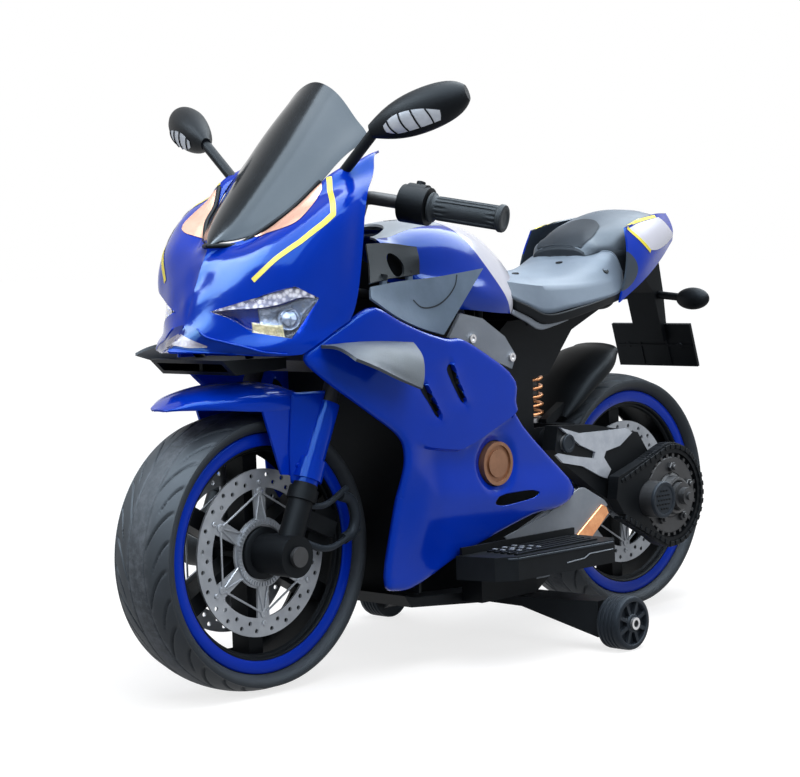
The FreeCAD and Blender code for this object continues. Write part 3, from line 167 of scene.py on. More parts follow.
class Finish(Network):
    def __init__(self, name):
        self.material = bpy.data.materials.new(name)
        super().__init__(self.material)
        self.shader = self.tree.nodes["Principled BSDF"]
        self.place = self.node("TexCoord", {}, "Object")

    def set(self, **inputs):
        for key, value in inputs.items():
            self.feed(self.shader.inputs[key.replace("_", " ")], value)
        return self

    def mottled(self, drift, low, high):
        self.drift = drift
        self.paint = drift.between(low, high)
        return self.set(Base_Color=self.paint)

    def masked(self, mask, low, high):
        # A second pair of colours where the mask is one
        return self.set(Base_Color=mask.between(self.paint, self.drift.between(low, high)))

    def noise(self, scale, detail=2.0, rough=0.5):
        inputs = {"Vector": self.place, "Scale": scale, "Detail": detail, "Roughness": rough}
        return self.node("TexNoise", inputs)

    def cells(self, scale):
        return self.node("TexVoronoi", {"Vector": self.place, "Scale": scale}, feature="F1")

    def axis(self, letter):
        return self.node("SeparateXYZ", {0: self.place}, letter)

    def radius(self, axle):
        dx = self.axis("X") - axle.x
        dz = self.axis("Z") - axle.z
        return (dx * dx + dz * dz) ** 0.5

    def relief(self, height, distance, strength):
        inputs = {"Height": height, "Distance": distance, "Strength": strength}
        self.feed(self.shader.inputs["Normal"], self.node("Bump", inputs))
        return self


print("finish language ready")

# %% [markdown]
# ## The finishes
# The panels are moulded plastic: some sprayed in a deep gloss blue, some left black or grey with
# a fine grain. Metal colours are lacquers over plastic except for the axles and screws.
# Each finish carries what its making leaves behind: ripple in lacquer, grain from the mould, dust.

# %% Finishes
# Specular tints: the first paints a blue sky colour into the reflections on lacquer, the second a cool sky
# colour into those on mouldings.
PAINTED_SKY_SHEEN = (0.22, 0.58, 1.0)
PAINTED_SKY_TINT = (0.78, 0.90, 1.0)
BLUE_PAINT = ((0.0008, 0.030, 0.450), (0.0010, 0.036, 0.520))


def lacquer(name, deep, colour, tint=PAINTED_SKY_SHEEN, rough=0.10):
    f = Finish(name)
    haze = f.noise(55.0, 4.0, 0.6)
    f.mottled(f.noise(9.0, 3.0).ramp(0.3, 0.7), deep, colour)
    f.set(Roughness=rough + haze * 0.08, Specular_IOR_Level=0.2, Specular_Tint=tint)
    f.set(Coat_Weight=haze * 0.012, Coat_Roughness=0.03)
    return f.relief(f.noise(140.0, 1.0), 0.00025, 0.25)


def moulded(name, colour, lift, rough, gloss, grain=1100.0, depth=0.00015):
    f = Finish(name)
    cloud = f.noise(16.0, 4.0, 0.6)
    f.mottled(cloud.ramp(0.35, 0.75), colour, lift)
    f.set(Roughness=rough + cloud * 0.14, Specular_IOR_Level=gloss, Specular_Tint=PAINTED_SKY_TINT)
    return f.relief(f.noise(grain, 2.0), depth, 0.5)


def cast_metal(name, dark, colour, rough, metal):
    f = Finish(name)
    f.mottled(f.noise(38.0, 5.0, 0.65).ramp(0.3, 0.7), dark, colour)
    f.set(Metallic=metal, Roughness=rough + f.noise(210.0, 3.0) * 0.16)
    return f.relief(f.noise(900.0, 2.0), 0.00008, 0.4)


blue = lacquer("blue_gloss", *BLUE_PAINT)
band_blue = lacquer("rim_blue", (0.0006, 0.020, 0.370), (0.0008, 0.026, 0.440), rough=0.25)
# A darker copy of the blue paint that is painted shade: it stands for the blue body in shadow inside the
# lamps and under the nose lip.
painted_shade_blue = lacquer("painted_shade_lacquer", (0.0005, 0.012, 0.180), (0.0006, 0.016, 0.230))
# The near-white tint paints a cool sky colour into the white lacquer's reflections.
pearl = lacquer("white_lacquer", (0.66, 0.67, 0.78), (0.74, 0.75, 0.84), (0.9, 0.95, 1.0), 0.3)
black = moulded("black_plastic", (0.0022, 0.0026, 0.0034), (0.005, 0.0058, 0.0072), 0.42, 0.09,
                1500.0, 0.00012)
grained = moulded("grained_black", (0.030, 0.036, 0.044), (0.055, 0.065, 0.080), 0.42, 0.3, 620.0, 0.0006)
grey = moulded("grey_plastic", (0.205, 0.230, 0.265), (0.255, 0.282, 0.320), 0.36, 0.22)
seat_grey = moulded("seat_grey", (0.135, 0.175, 0.230), (0.170, 0.215, 0.275), 0.36, 0.2)
hump_grey = moulded("hump_grey", (0.050, 0.064, 0.084), (0.070, 0.088, 0.112), 0.38, 0.25)
dark_grey = moulded("dark_grey_plastic", (0.014, 0.018, 0.024), (0.025, 0.031, 0.040), 0.40, 0.1)
rubber = moulded("grip_rubber", (0.009, 0.011, 0.013), (0.018, 0.021, 0.025), 0.55, 0.2, 1900.0)
yellow = moulded("yellow_film", (0.86, 0.70, 0.01), (0.92, 0.80, 0.03), 0.32, 0.4, 800.0, 0.00004)
silver = cast_metal("silver_plastic", (0.31, 0.34, 0.39), (0.40, 0.43, 0.48), 0.34, 0.5)
steel = cast_metal("steel", (0.40, 0.40, 0.42), (0.55, 0.55, 0.56), 0.25, 1.0)
dark_steel = cast_metal("black_metal", (0.014, 0.015, 0.017), (0.024, 0.026, 0.030), 0.38, 0.3)
bronze = cast_metal("bronze_plastic", (0.165, 0.074, 0.036), (0.225, 0.108, 0.056), 0.40, 0.5)
copper = cast_metal("copper_coat", (0.52, 0.22, 0.10), (0.72, 0.36, 0.17), 0.30, 0.85)
rose = cast_metal("rose_trim", (0.56, 0.31, 0.23), (0.66, 0.38, 0.29), 0.30, 0.5)
print("moulded, lacquered and cast finishes made")

# %% [markdown]
# Three mouldings have two colours. The tank is white behind a slanting line, the tail has a grey shoulder
# and a grey inside, and the duct panel is black above a nearly level line.

# %% Finishes in two colours
tank_paint = lacquer("tank_lacquer", (0.0008, 0.024, 0.330), (0.0010, 0.030, 0.400))
slant = tank_paint.axis("X") - 0.726 * tank_paint.axis("Z")
tank_paint.masked(1.0 - slant.ramp(-0.3895, -0.3880), (0.66, 0.67, 0.76), (0.74, 0.75, 0.84))

tail_paint = lacquer("tail_lacquer", *BLUE_PAINT)
across = (tail_paint.axis("X") + 0.270) / 0.060
upward = (tail_paint.axis("Z") - 0.520) / 0.034
shoulder = 1.0 - (across * across + upward * upward).ramp(0.96, 1.04)
facing = tail_paint.node("NewGeometry", {}, "Normal")
facing = tail_paint.node("SeparateXYZ", {0: facing}, "Y")
inner = (facing * tail_paint.axis("Y")) < -0.01
tail_paint.masked(shoulder + inner, (0.040, 0.052, 0.070), (0.055, 0.070, 0.092))

duct_grey = moulded("duct_grey", (0.115, 0.160, 0.222), (0.150, 0.205, 0.285), 0.45, 0.1)
rise = duct_grey.axis("Z") + 0.0736 * duct_grey.axis("X")
duct_grey.masked(rise.ramp(0.5375, 0.5390), (0.010, 0.012, 0.014), (0.020, 0.023, 0.027))
print("two-colour finishes made")

# %% [markdown]
# The smoked screen, the lenses and the drilled discs each need something of their own.
# Lenses and lamp bowls are faceted. The discs have a turned look, so their grain runs round the axle.


# %% Screen, lens and disc finishes
def faceted(name, scale, reach, bright, dark, rough, vary, depth=0.0006, bump=0.6, **more):
    f = Finish(name)
    facet = f.cells(scale)
    f.mottled(facet.ramp(0.0, reach), bright, dark).set(Roughness=rough + facet * vary, **more)
    return f.relief(facet, depth, bump)


def turned(name, axle):
    f = Finish(name)
    inputs = {"W": f.radius(axle), "Scale": 1400.0, "Detail": 2.0}
    lines = f.node("TexNoise", inputs, noise_dimensions="1D")
    f.mottled(f.noise(30.0, 4.0).ramp(0.3, 0.7), (0.24, 0.26, 0.29), (0.32, 0.345, 0.38))
    f.set(Metallic=0.4, Roughness=0.32 + lines * 0.2)
    return f.relief(lines, 0.0001, 0.35)


def tyre_rubber(name, axle):
    f = Finish(name)
    middle = 1.0 - f.axis("Y").size().ramp(0.012, 0.028)
    worn = middle * f.radius(axle).ramp(0.1775, 0.1795) * f.noise(75.0, 5.0, 0.7).ramp(0.35, 0.7)
    dust = f.noise(22.0, 5.0, 0.6).ramp(0.4, 0.8)
    plain = dust.between((0.012, 0.014, 0.017), (0.022, 0.025, 0.030))
    f.set(Base_Color=worn.between(plain, (0.085, 0.092, 0.105)), Roughness=0.58 + dust * 0.15 + worn * 0.2)
    # The specular tint paints a cool sky colour into the tyre's reflections.
    f.set(Specular_IOR_Level=0.25, Specular_Tint=(0.74, 0.87, 1.0))
    return f.relief(f.noise(700.0, 3.0), 0.0003, 0.4)


smoke = Finish("smoke_gloss")
streak = smoke.noise(12.0, 4.0, 0.55)
smoke.mottled(streak.ramp(0.3, 0.7), (0.006, 0.008, 0.010), (0.013, 0.016, 0.020))
# The specular tint paints a cool sky colour into the screen's reflections.
smoke.set(Roughness=0.12 + streak * 0.08, Specular_IOR_Level=0.2, Specular_Tint=(0.70, 0.85, 1.0))
smoke.relief(smoke.noise(24.0, 1.0), 0.0005, 0.12)

clear = Finish("clear_lens")
mist = clear.noise(60.0, 3.0)
clear.mottled(mist.ramp(0.3, 0.7), (0.93, 0.95, 0.97), (0.99, 0.99, 1.0))
clear.set(Roughness=0.02 + mist * 0.03, Transmission_Weight=1.0, IOR=1.25)

led = Finish("led_strip")
dots = led.cells(170.0)
led.mottled(dots.ramp(0.2, 0.75), (0.34, 0.36, 0.48), (0.15, 0.16, 0.25))
shine = led.drift.between((1.0, 1.0, 1.0), (0.10, 0.11, 0.17))
led.set(Roughness=0.3 + dots * 0.2, Emission_Color=shine, Emission_Strength=0.5)

red_lens = faceted("red_lens", 260.0, 0.8, (0.42, 0.006, 0.008), (0.24, 0.003, 0.004), 0.12, 0.0,
                   Coat_Weight=0.6)
amber = faceted("amber_lens", 240.0, 0.8, (0.36, 0.32, 0.18), (0.17, 0.15, 0.08), 0.2, 0.1, Coat_Weight=0.5)
led_off = faceted("lamp_lens", 150.0, 0.7, (0.20, 0.18, 0.26), (0.09, 0.08, 0.12), 0.25, 0.1, bump=0.5)
chrome = faceted("lamp_bowl", 130.0, 0.6, (0.26, 0.30, 0.38), (0.10, 0.13, 0.19), 0.2, 0.15, 0.0012, 0.5,
                 Metallic=0.6)
front_disc_grey = turned("front_disc_grey", FRONT_AXLE)
rear_disc_grey = turned("rear_disc_grey", REAR_AXLE)
front_rubber = tyre_rubber("front_tyre_black", FRONT_AXLE)
rear_rubber = tyre_rubber("rear_tyre_black", REAR_AXLE)
print("screen, lens, disc and tyre finishes made")

# %% [markdown]
# ## Dressing the mechanical parts
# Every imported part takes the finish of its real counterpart.
# Smooth shading is broken where faces meet at more than thirty degrees, so moulded edges stay crisp.

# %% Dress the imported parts
DRESS = {
    blue: "nose_cowl side_fairing_left side_fairing_right front_fender fork_sleeves",
    tail_paint: "tail_cowl",
    tank_paint: "tank_cover",
    black: "main_frame chin_intake footrests subframe plate_holder rear_signals chain_cover hugger "
           "fork_lowers front_calipers switch_pods horn_button power_switch mirror_left mirror_right "
           "stabiliser_brackets stabiliser_wheel_left stabiliser_wheel_right swingarm front_rim rear_rim",
    grained: "winglets",
    grey: "tank_top_panel frame_spars heel_guards",
    duct_grey: "duct_panels",
    seat_grey: "seat_pad",
    hump_grey: "seat_base",
    dark_grey: "control_box battery",
    smoke: "windscreen",
    clear: "headlights",
    red_lens: "tail_light",
    silver: "swingarm_trims",
    bronze: "engine_caps",
    copper: "shock_spring",
    steel: "screws motor_pinion shock_rod",
    dark_steel: "front_axle steering_fork top_yoke handlebar rear_axle shock_upper drive_motor drive_gear",
    rubber: "grip_left throttle_grip",
    front_disc_grey: "front_discs",
    rear_disc_grey: "rear_discs",
    front_rubber: "front_tyre",
    rear_rubber: "rear_tyre",
}
dressed = set()
for finish, names in DRESS.items():
    for name in names.split():
        data = nodes[name].data
        data.materials.clear()
        data.materials.append(finish.material)
        data.shade_smooth()
        data.set_sharp_from_angle(angle=radians(30.0))
        dressed.add(name)
print("dressed", len(dressed), "undressed", sorted(set(nodes) - dressed))

# %% [markdown]
# ## Small builders
# Most added pieces are one of four kinds: turned about the axle direction, swept along a path, cut from sheet
# in the side view, or skinned over a few listed rows of points.
# Points on a panel are pulled onto the imported mesh, so films and trims follow the real surface.
# Coordinates and radii are given in mm here, and become metres in the points.

# %% Builders
ALONG_X = Vector((1, 0, 0))
ALONG_Y = Vector((0, 1, 0))
TREES = {}


def at(x, y, z):
    return Vector((x, y, z)) * 0.001


def row(*points):
    return [at(*p) for p in points]


def both_ways(points):
    # A row from one side to the middle, carried on to the other side
    near = row(*points)
    return near + [Vector((p.x, -p.y, p.z)) for p in reversed(near[:-1])]


def spoke(angle):
    return Vector((cos(angle), 0, sin(angle)))


def round_at(centre, radius, y, angle):
    return centre + at(radius * cos(angle), y, radius * sin(angle))


def thickened(piece, wall, outward=0.0, even=True):
    shell = piece.modifiers.new("wall", "SOLIDIFY")
    configure(shell, thickness=wall, offset=outward, use_even_offset=even)


def made(name, mesh, finish, slot, angle=35.0, body="chassis", bevel=0.0, wall=0.0):
    data = bpy.data.meshes.new(name)
    data.from_pydata([tuple(v) for v in mesh[0]], [], mesh[1])
    shape = bmesh.new()
    shape.from_mesh(data)
    bmesh.ops.remove_doubles(shape, verts=shape.verts, dist=1e-6)
    bmesh.ops.recalc_face_normals(shape, faces=shape.faces)
    shape.to_mesh(data)
    shape.free()
    data.shade_smooth()
    data.set_sharp_from_angle(angle=radians(angle))
    data.materials.append(finish.material)
    piece = placed(name, data)
    if bevel:
        edge = piece.modifiers.new("rounded_edges", "BEVEL")
        configure(edge, width=bevel, segments=2, limit_method="ANGLE", angle_limit=radians(30.0))
    if wall:
        thickened(piece, wall)
    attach(piece, body)
    return piece


def joined(*meshes):
    verts = []
    faces = []
    for more_verts, more_faces in meshes:
        base = len(verts)
        verts.extend(more_verts)
        faces.extend([tuple(base + i for i in f) for f in more_faces])
    return verts, faces


def flipped(mesh):
    verts, faces = mesh
    return [Vector((v.x, -v.y, v.z)) for v in verts], [tuple(reversed(f)) for f in faces]


def pair(name, mesh, *rest, **more):
    # One piece that holds a left part and its mirror image
    return made(name, joined(mesh, flipped(mesh)), *rest, **more)


def ring_faces(rings, sides, closed):
    # Quads between rings of points, joined end to end or capped
    faces = []
    for i in range(rings if closed else rings - 1):
        for j in range(sides):
            a = i * sides + j
            b = i * sides + (j + 1) % sides
            c = ((i + 1) % rings) * sides + (j + 1) % sides
            d = ((i + 1) % rings) * sides + j
            faces.append((a, b, c, d))
    if not closed:
        faces.append(tuple(range(sides)))
        faces.append(tuple((rings - 1) * sides + j for j in range(sides)))
    return faces


def grid_faces(down, across):
    faces = []
    for j in range(down - 1):
        for i in range(across - 1):
            a = j * across + i
            faces.append((a, a + 1, a + 1 + across, a + across))
    return faces


def turned_ring(profile, centre, sides, closed=True):
    # Profile rows are (radius, y) about the centre, spun about the Y direction
    turns = [2 * pi * j / sides for j in range(sides)]
    verts = [round_at(centre, r, y, a) for r, y in profile for a in turns]
    return verts, ring_faces(len(profile), sides, closed)


def spun(origin, axis, profile, sides, rib=None):
    # Profile rows are (distance along the axis, radius)
    first = axis.cross(Vector((0.0, 0.0, 1.0))).normalized()
    second = axis.cross(first)
    verts = []
    for t, r in profile:
        for j in range(sides):
            a = 2 * pi * j / sides
            grown = (r + (rib(a, t) if rib else 0.0)) * 0.001
            verts.append(origin + axis * (t * 0.001) + (first * cos(a) + second * sin(a)) * grown)
    return verts, ring_faces(len(profile), sides, False)


def swept(path, radius, sides):
    # A tube along a path
    verts = []
    side = Vector((0.31, 0.17, 0.93))
    for i, p in enumerate(path):
        along = (path[min(i + 1, len(path) - 1)] - path[max(i - 1, 0)]).normalized()
        side = (side - along * side.dot(along)).normalized()
        other = along.cross(side)
        for j in range(sides):
            a = 2 * pi * j / sides
            verts.append(p + (side * cos(a) + other * sin(a)) * radius * 0.001)
    return verts, ring_faces(len(path), sides, False)


def cut_sheet(outline, y0, y1):
    # A flat piece cut in the side view, between two y values
    count = len(outline)
    verts = [at(x, y0, z) for x, z in outline] + [at(x, y1, z) for x, z in outline]
    faces = [tuple(range(count)), tuple(range(2 * count - 1, count - 1, -1))]
    for i in range(count):
        j = (i + 1) % count
        faces.append((i, j, count + j, count + i))
    return verts, faces


def slab(centre, half, x_dir=ALONG_X, y_dir=ALONG_Y):
    z_dir = x_dir.cross(y_dir)
    verts = []
    for sz in (-1, 1):
        for sx, sy in ((-1, -1), (1, -1), (1, 1), (-1, 1)):
            verts.append(centre + x_dir * (sx * half[0]) + y_dir * (sy * half[1]) + z_dir * (sz * half[2]))
    return verts, [(0, 1, 2, 3), (4, 7, 6, 5), (0, 4, 5, 1), (1, 5, 6, 2), (2, 6, 7, 3), (3, 7, 4, 0)]


def evenly(points, count):
    run = [0.0]
    for a, b in zip(points, points[1:]):
        run.append(run[-1] + (b - a).length)
    out = []
    j = 0
    for i in range(count):
        want = run[-1] * i / (count - 1)
        while j < len(run) - 2 and run[j + 1] < want:
            j += 1
        f = (want - run[j]) / max(run[j + 1] - run[j], 1e-12)
        out.append(points[j].lerp(points[j + 1], min(max(f, 0.0), 1.0)))
    return out


def smooth_line(pts, count):
    # A centripetal curve through the points, sampled at even lengths
    ext = [pts[0] * 2 - pts[1]] + pts + [pts[-1] * 2 - pts[-2]]
    dense = []
    for i in range(1, len(ext) - 2):
        p = ext[i - 1:i + 3]
        k = [0.0]
        for a, b in zip(p, p[1:]):
            k.append(k[-1] + max((b - a).length, 1e-9) ** 0.5)
        for j in range(20):
            t = k[1] + (k[2] - k[1]) * j / 20
            a1 = p[0].lerp(p[1], (t - k[0]) / (k[1] - k[0]))
            a2 = p[1].lerp(p[2], (t - k[1]) / (k[2] - k[1]))
            a3 = p[2].lerp(p[3], (t - k[2]) / (k[3] - k[2]))
            b1 = a1.lerp(a2, (t - k[0]) / (k[2] - k[0]))
            b2 = a2.lerp(a3, (t - k[1]) / (k[3] - k[1]))
            dense.append(b1.lerp(b2, (t - k[1]) / (k[2] - k[1])))
    dense.append(pts[-1])
    return evenly(dense, count)


def curve(count, *points):
    return smooth_line(row(*points), count)


def skinned(rows, across, along):
    lines = [smooth_line(line, across) for line in rows]
    columns = [smooth_line([line[i] for line in lines], along) for i in range(across)]
    return [columns[i][j] for j in range(along) for i in range(across)], grid_faces(along, across)


def drape(node, point, heart, lift):
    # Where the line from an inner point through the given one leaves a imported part, lifted a little off it
    if node not in TREES:
        data = nodes[node].data
        corners = [tuple(p.vertices) for p in data.polygons]
        TREES[node] = BVHTree.FromPolygons([v.co for v in data.vertices], corners)
    out = (point - heart).normalized()
    place, normal, _, _ = TREES[node].ray_cast(point + out * 0.05, -out, 0.10)
    if place is None:
        place, normal, _, _ = TREES[node].find_nearest(point)
    if normal.dot(out) < 0:
        normal = -normal
    return place + normal * (lift * 0.001), normal


def film(node, path, width, heart, lift, count):
    # A thin ribbon laid on a panel along a path
    line = evenly(path, count)
    verts = []
    for i, p in enumerate(line):
        along = (line[min(i + 1, count - 1)] - line[max(i - 1, 0)]).normalized()
        place, normal = drape(node, p, heart, 0.0)
        side = normal.cross(along).normalized()
        for s in (-0.5, -0.17, 0.17, 0.5):
            verts.append(drape(node, place + side * (s * width * 0.001), heart, lift)[0])
    return verts, grid_faces(count, 4)


def draped(node, rows, heart, lift, across, along):
    # A patch between rows of points, laid on a panel
    verts, faces = skinned(rows, across, along)
    return [drape(node, v, heart, lift)[0] for v in verts], faces


print("builders ready")

# %% [markdown]
# ## Tyres
# The tyres are hard foam or blown plastic with a moulded road pattern: long curved grooves that
# run from the middle band to the shoulder in pairs, and a plain middle band that scuffs grey.
# The tread is real relief, pushed into a turned cross-section ring by ring.

# %% Tyres
WHEELS = (("front", FRONT_AXLE, front_rubber, front_disc_grey),
          ("rear", REAR_AXLE, rear_rubber, rear_disc_grey))
TYRE_POINTS = 760
TREAD_PITCH = 2 * pi / 15
TREAD_FROM = 165.0
GROOVE_DEPTH = 3.0
RING_AT = 14.2
RING_HALF = 1.1
RING_DEPTH = 1.2
# Each row is a shift in pitches, a lean in radians, the first and last |y|, and half a width
GROOVES = ((0.0, 0.34, 13.5, 50.0, 3.2), (0.5, 0.26, 27.0, 51.0, 2.6))
SHOULDER = [(153.7, 35.9), (155.4, 42.0), (158.6, 48.6), (163.4, 52.6), (167.6, 53.7), (170.6, 52.6)]
CROWN = [(180.0 - 10.2 * (1 - i / 32) ** 2.2, 52.2 * (1 - i / 32)) for i in range(1, 33)]
LINING = [(153.7, -30.0), (160.0, -28.0), (168.0, -30.0), (171.0, 0.0), (168.0, 30.0), (160.0, 28.0),
          (153.7, 30.0)]


def groove_depth(angle, y, radius):
    if radius <= TREAD_FROM:
        return 0.0
    reach = abs(y)
    depth = RING_DEPTH * max(0.0, 1.0 - ((reach - RING_AT) / RING_HALF) ** 2)
    for family, lean, low, high, width in GROOVES:
        if not low < reach < high:
            continue
        t = (reach - low) / (high - low)
        bend = lean * (1 - t) ** 1.6
        shift = (0.5 if y < 0 else 0.0) + family
        off = (angle / TREAD_PITCH + bend / TREAD_PITCH - shift) % 1.0
        off = min(off, 1.0 - off) * TREAD_PITCH * radius
        taper = min(1.0, 5.0 * t, 5.0 * (1 - t))
        depth = max(depth, GROOVE_DEPTH * taper * max(0.0, 1.0 - (off / width) ** 2))
    return depth


def tyre_mesh(centre):
    angles = [2 * pi * j / TYRE_POINTS for j in range(TYRE_POINTS)]
    half = SHOULDER + CROWN
    outer = half + [(r, -y) for r, y in reversed(half[:-1])]
    verts = [round_at(centre, r - groove_depth(a, y, r), y, a) for r, y in outer for a in angles]
    verts += [round_at(centre, r, y, a) for r, y in LINING for a in angles]
    return verts, ring_faces(len(outer) + len(LINING), TYRE_POINTS, True)


for end, centre, finish, _ in WHEELS:
    tyre = made(end + "_tread_tyre", tyre_mesh(centre), finish, "tyre_black", 60.0, end + "_wheel")
    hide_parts(end + "_tyre")
    print(tyre.name, len(tyre.data.vertices), "points")

# %% [markdown]
# ## Rim bands and wheel faces
# A blue lacquered band lines the edge of each black wheel, on both sides.
# Behind it the wheel steps down in two rings to the spokes.

# %% Rim bands
BAND = [(137.6, 39.4), (137.9, 41.2), (140.5, 42.6), (147.0, 43.4), (152.6, 43.0), (154.2, 41.6),
        (154.2, 40.2)]
STEP = [(137.3, 40.2), (135.4, 40.4), (134.2, 39.2), (133.6, 34.0), (131.2, 33.2), (129.6, 30.0),
        (137.3, 30.0)]
for end, centre, _, _ in WHEELS:
    pair(end + "_rim_bands", turned_ring(BAND, centre, 160), band_blue, "blue_gloss", 50.0, end + "_wheel")
    pair(end + "_rim_steps", turned_ring(STEP, centre, 160), black, "black_plastic", 40.0, end + "_wheel")
print("rim bands made")

# %% [markdown]
# ## Brake disc details
# The moulded discs carry a toothed sensor ring, a hexagon of thin links and button rivets.
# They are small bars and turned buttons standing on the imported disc. The front hub has a stepped cap.

# %% Disc links, rivets, sensor rings and hub caps
RING_TEETH = 54
RING_IN = 36.5
RING_OUT = 43.5
RING_TALL = 3.2
LINK_IN = 44
LINK_OUT = 79.0
OUTER_RIVET = 91.0
RIVET = [(5.4, 0.0), (5.4, 3.6), (4.4, 4.8), (2.4, 5.0), (2.2, 4.0), (0.6, 4.0)]
HUB = [(34.0, 33.2), (34.0, 38.0), (31.0, 40.0), (22.0, 41.0), (22.0, 33.2)]


def disc_details(centre, y0):
    top = y0 + RING_TALL
    pieces = [turned_ring([(RING_IN, y0), (RING_IN, top), (RING_OUT, top), (RING_OUT, y0)], centre, 96)]
    for i in range(RING_TEETH):
        out = spoke(2 * pi * i / RING_TEETH)
        pieces.append(slab(centre + out * 0.0402 + at(0, y0 + 3.8, 0), (0.0026, 0.0008, 0.0012), out))
    links = []
    for i in range(6):
        a = radians(60 * i + 30)
        p = round_at(centre, LINK_OUT, y0 + 0.8, a)
        q = round_at(centre, LINK_OUT, y0 + 0.8, radians(60 * i + 90))
        pieces.append(swept([p, q], 1.4, 8))
        for turn in (-0.19, 0.19):
            links.append(swept([p, round_at(centre, LINK_IN, y0 + 0.8, a + turn)], 1.4, 8))
        for out, scale in ((LINK_OUT, 1.0), (OUTER_RIVET, 0.62)):
            profile = [(r * scale, y * 0.42) for r, y in RIVET]
            pieces.append(turned_ring(profile, round_at(centre, out, y0, a), 18, False))
    return joined(*(pieces + links))


for end, centre, _, finish in WHEELS:
    pair(end + "_disc_links", disc_details(centre, 33.0), finish, "grey_plastic", 30.0, end + "_wheel")
pair("front_hub_caps", turned_ring(HUB, FRONT_AXLE, 64), black, "black_plastic", 30.0, "front_wheel")
print("disc details made")

# %% [markdown]
# ## Caliper carriers and fender webs
# Two curved arms reach back from each fork leg and hold a hoop beside the brake caliper.
# A curved blue web joins each fork leg to the front fender.

# %% Caliper carriers and fender webs
high_arm = curve(24, (356, 84, 243), (318, 89, 238), (264, 78, 254))
low_arm = curve(24, (356, 86, 197), (312, 89, 182), (244, 78, 199))
hoop = curve(24, (276, 79, 246), (257, 78, 238), (249, 78, 216), (256, 78, 196), (274, 80, 189))
carrier = joined(swept(high_arm, 4.2, 12), swept(low_arm, 4.2, 12), swept(hoop, 7.5, 14))
pair("caliper_carriers", carrier, dark_grey, "black_plastic", 60.0, "steering")
web = [row((345, 66.4, 384), (349, 66.4, 345), (352, 66.4, 310), (351, 66.4, 270)),
       row((322, 74, 384), (333, 74, 345), (342, 74, 310), (350, 73, 267)),
       row((299, 81, 384), (315, 81, 345), (331, 81, 310), (348, 80, 266))]
pair("fender_webs", skinned(web, 20, 12), blue, "blue_gloss", 50.0, "steering", wall=0.002)
print("caliper carriers and fender webs made")

# %% [markdown]
# ## Spring
# The spring is one wire of five turns between its two seats. Its top seat is fixed to the chassis, so the
# coil hangs from there.

# %% Spring
WIRE = 2.4
TURNS = 5
COIL_POINTS = 180
wire = WIRE / 1000
low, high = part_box("shock_spring")
middle = (low[0] + high[0]) / 2
tall = high[2] - low[2]
coil = []
for i in range(COIL_POINTS + 1):
    f = i / COIL_POINTS
    a = 2 * pi * TURNS * f
    r = (high[0] - low[0]) / 2 - wire
    coil.append(Vector((middle + r * cos(a), r * sin(a), low[2] + wire + f * (tall - 2 * wire))))
spring = made("spring_coil", swept(coil, WIRE, 12), copper, "copper_coat", 60.0)
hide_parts("shock_spring")
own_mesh(spring)

# %% [markdown]
# ## Handlebar grips
# The grips are ribbed rubber sleeves with a collar toward the switches and a bead at the end.
# They are spun about the bar direction, with the ribs as a wave on the radius.

# %% Grips
BAR_MID = at(185.57, 0.0, 630.07)
RIBS = 15.0
RIB_HEIGHT = 0.75
FLAT_SINK = 0.9
GRIP = [(86.2, 9.6), (86.2, 18.4), (87.2, 19.8), (89.8, 19.8), (90.8, 18.6), (92.0, 16.4), (94.0, 15.6)]
GRIP += [(96.6, 15.4), (97.6, 15.2)] + [(97.6 + 83.0 * i / 16, 15.3) for i in range(1, 16)]
GRIP += [(180.6, 15.3), (182.0, 15.6), (183.2, 17.4), (184.6, 18.2), (188.6, 18.2), (190.4, 17.2)]
GRIP += [(191.0, 15.0), (191.0, 11.0), (190.2, 10.0), (190.2, 4.0)]


def grip_rib(angle, t):
    if not 97.0 < t < 181.0:
        return 0.0
    flat = abs(sin(angle * 0.5)) < 0.34
    if flat and 108.0 < t < 172.0:
        return -FLAT_SINK
    return RIB_HEIGHT * tanh(3.0 * sin(angle * RIBS))


for side, label, rider, node in ((1, "grip_sleeve_left", "steering", "grip_left"),
                                 (-1, "grip_sleeve_throttle", "throttle", "throttle_grip")):
    bend = BAR_MID + at(0.0, 64.0 * side, 0.0)
    axis = (BAR_MID + at(-61.0, 238.0 * side, -33.0) - bend).normalized()
    sleeve = made(label, spun(bend, axis, GRIP, 180, grip_rib), rubber, "grip_rubber", 40.0, rider)
    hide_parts(node)
print("grips made")

# %% [markdown]
# ## Stabiliser wheels
# Two small moulded wheels keep the bike upright. Their tread is turned with four grooves,
# and the outer face is a ring, eight short spokes and a hub.


# %% Stabiliser wheels
def stabiliser_wheel():
    centre = at(-113.0, 0.0, 37.5)
    tread = [(30.0, 214.5), (35.4, 213.2), (36.9, 214.4)]
    for groove in (219.5, 226.0, 232.5, 239.0):
        tread += [(37.4, groove - 1.9), (36.0, groove - 1.0), (36.0, groove + 1.0), (37.4, groove + 1.9)]
    tread += [(37.3, 245.0), (36.2, 248.6), (34.4, 249.8), (30.6, 249.8), (29.6, 248.8), (29.2, 242.0)]
    tread += [(6.0, 241.5), (6.0, 214.5)]
    hub = [(5.4, 241.0), (12.4, 241.0), (12.8, 248.4), (11.6, 249.6), (9.4, 249.6), (5.4, 249.2)]
    parts = [turned_ring(tread, centre, 72), turned_ring(hub, centre, 36)]
    for i in range(8):
        out = spoke(radians(45 * i + 22.5))
        parts.append(slab(centre + out * 0.021 + at(0, 244.9, 0), (0.0092, 0.0036, 0.0026), out))
    return joined(*parts)


left_roller = stabiliser_wheel()
for side, mesh in (("left", left_roller), ("right", flipped(left_roller))):
    roller = made("stabiliser_roller_" + side, mesh, dark_grey, "black_plastic", body="stabiliser_" + side)
    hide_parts("stabiliser_wheel_" + side)
print("stabiliser wheels made")

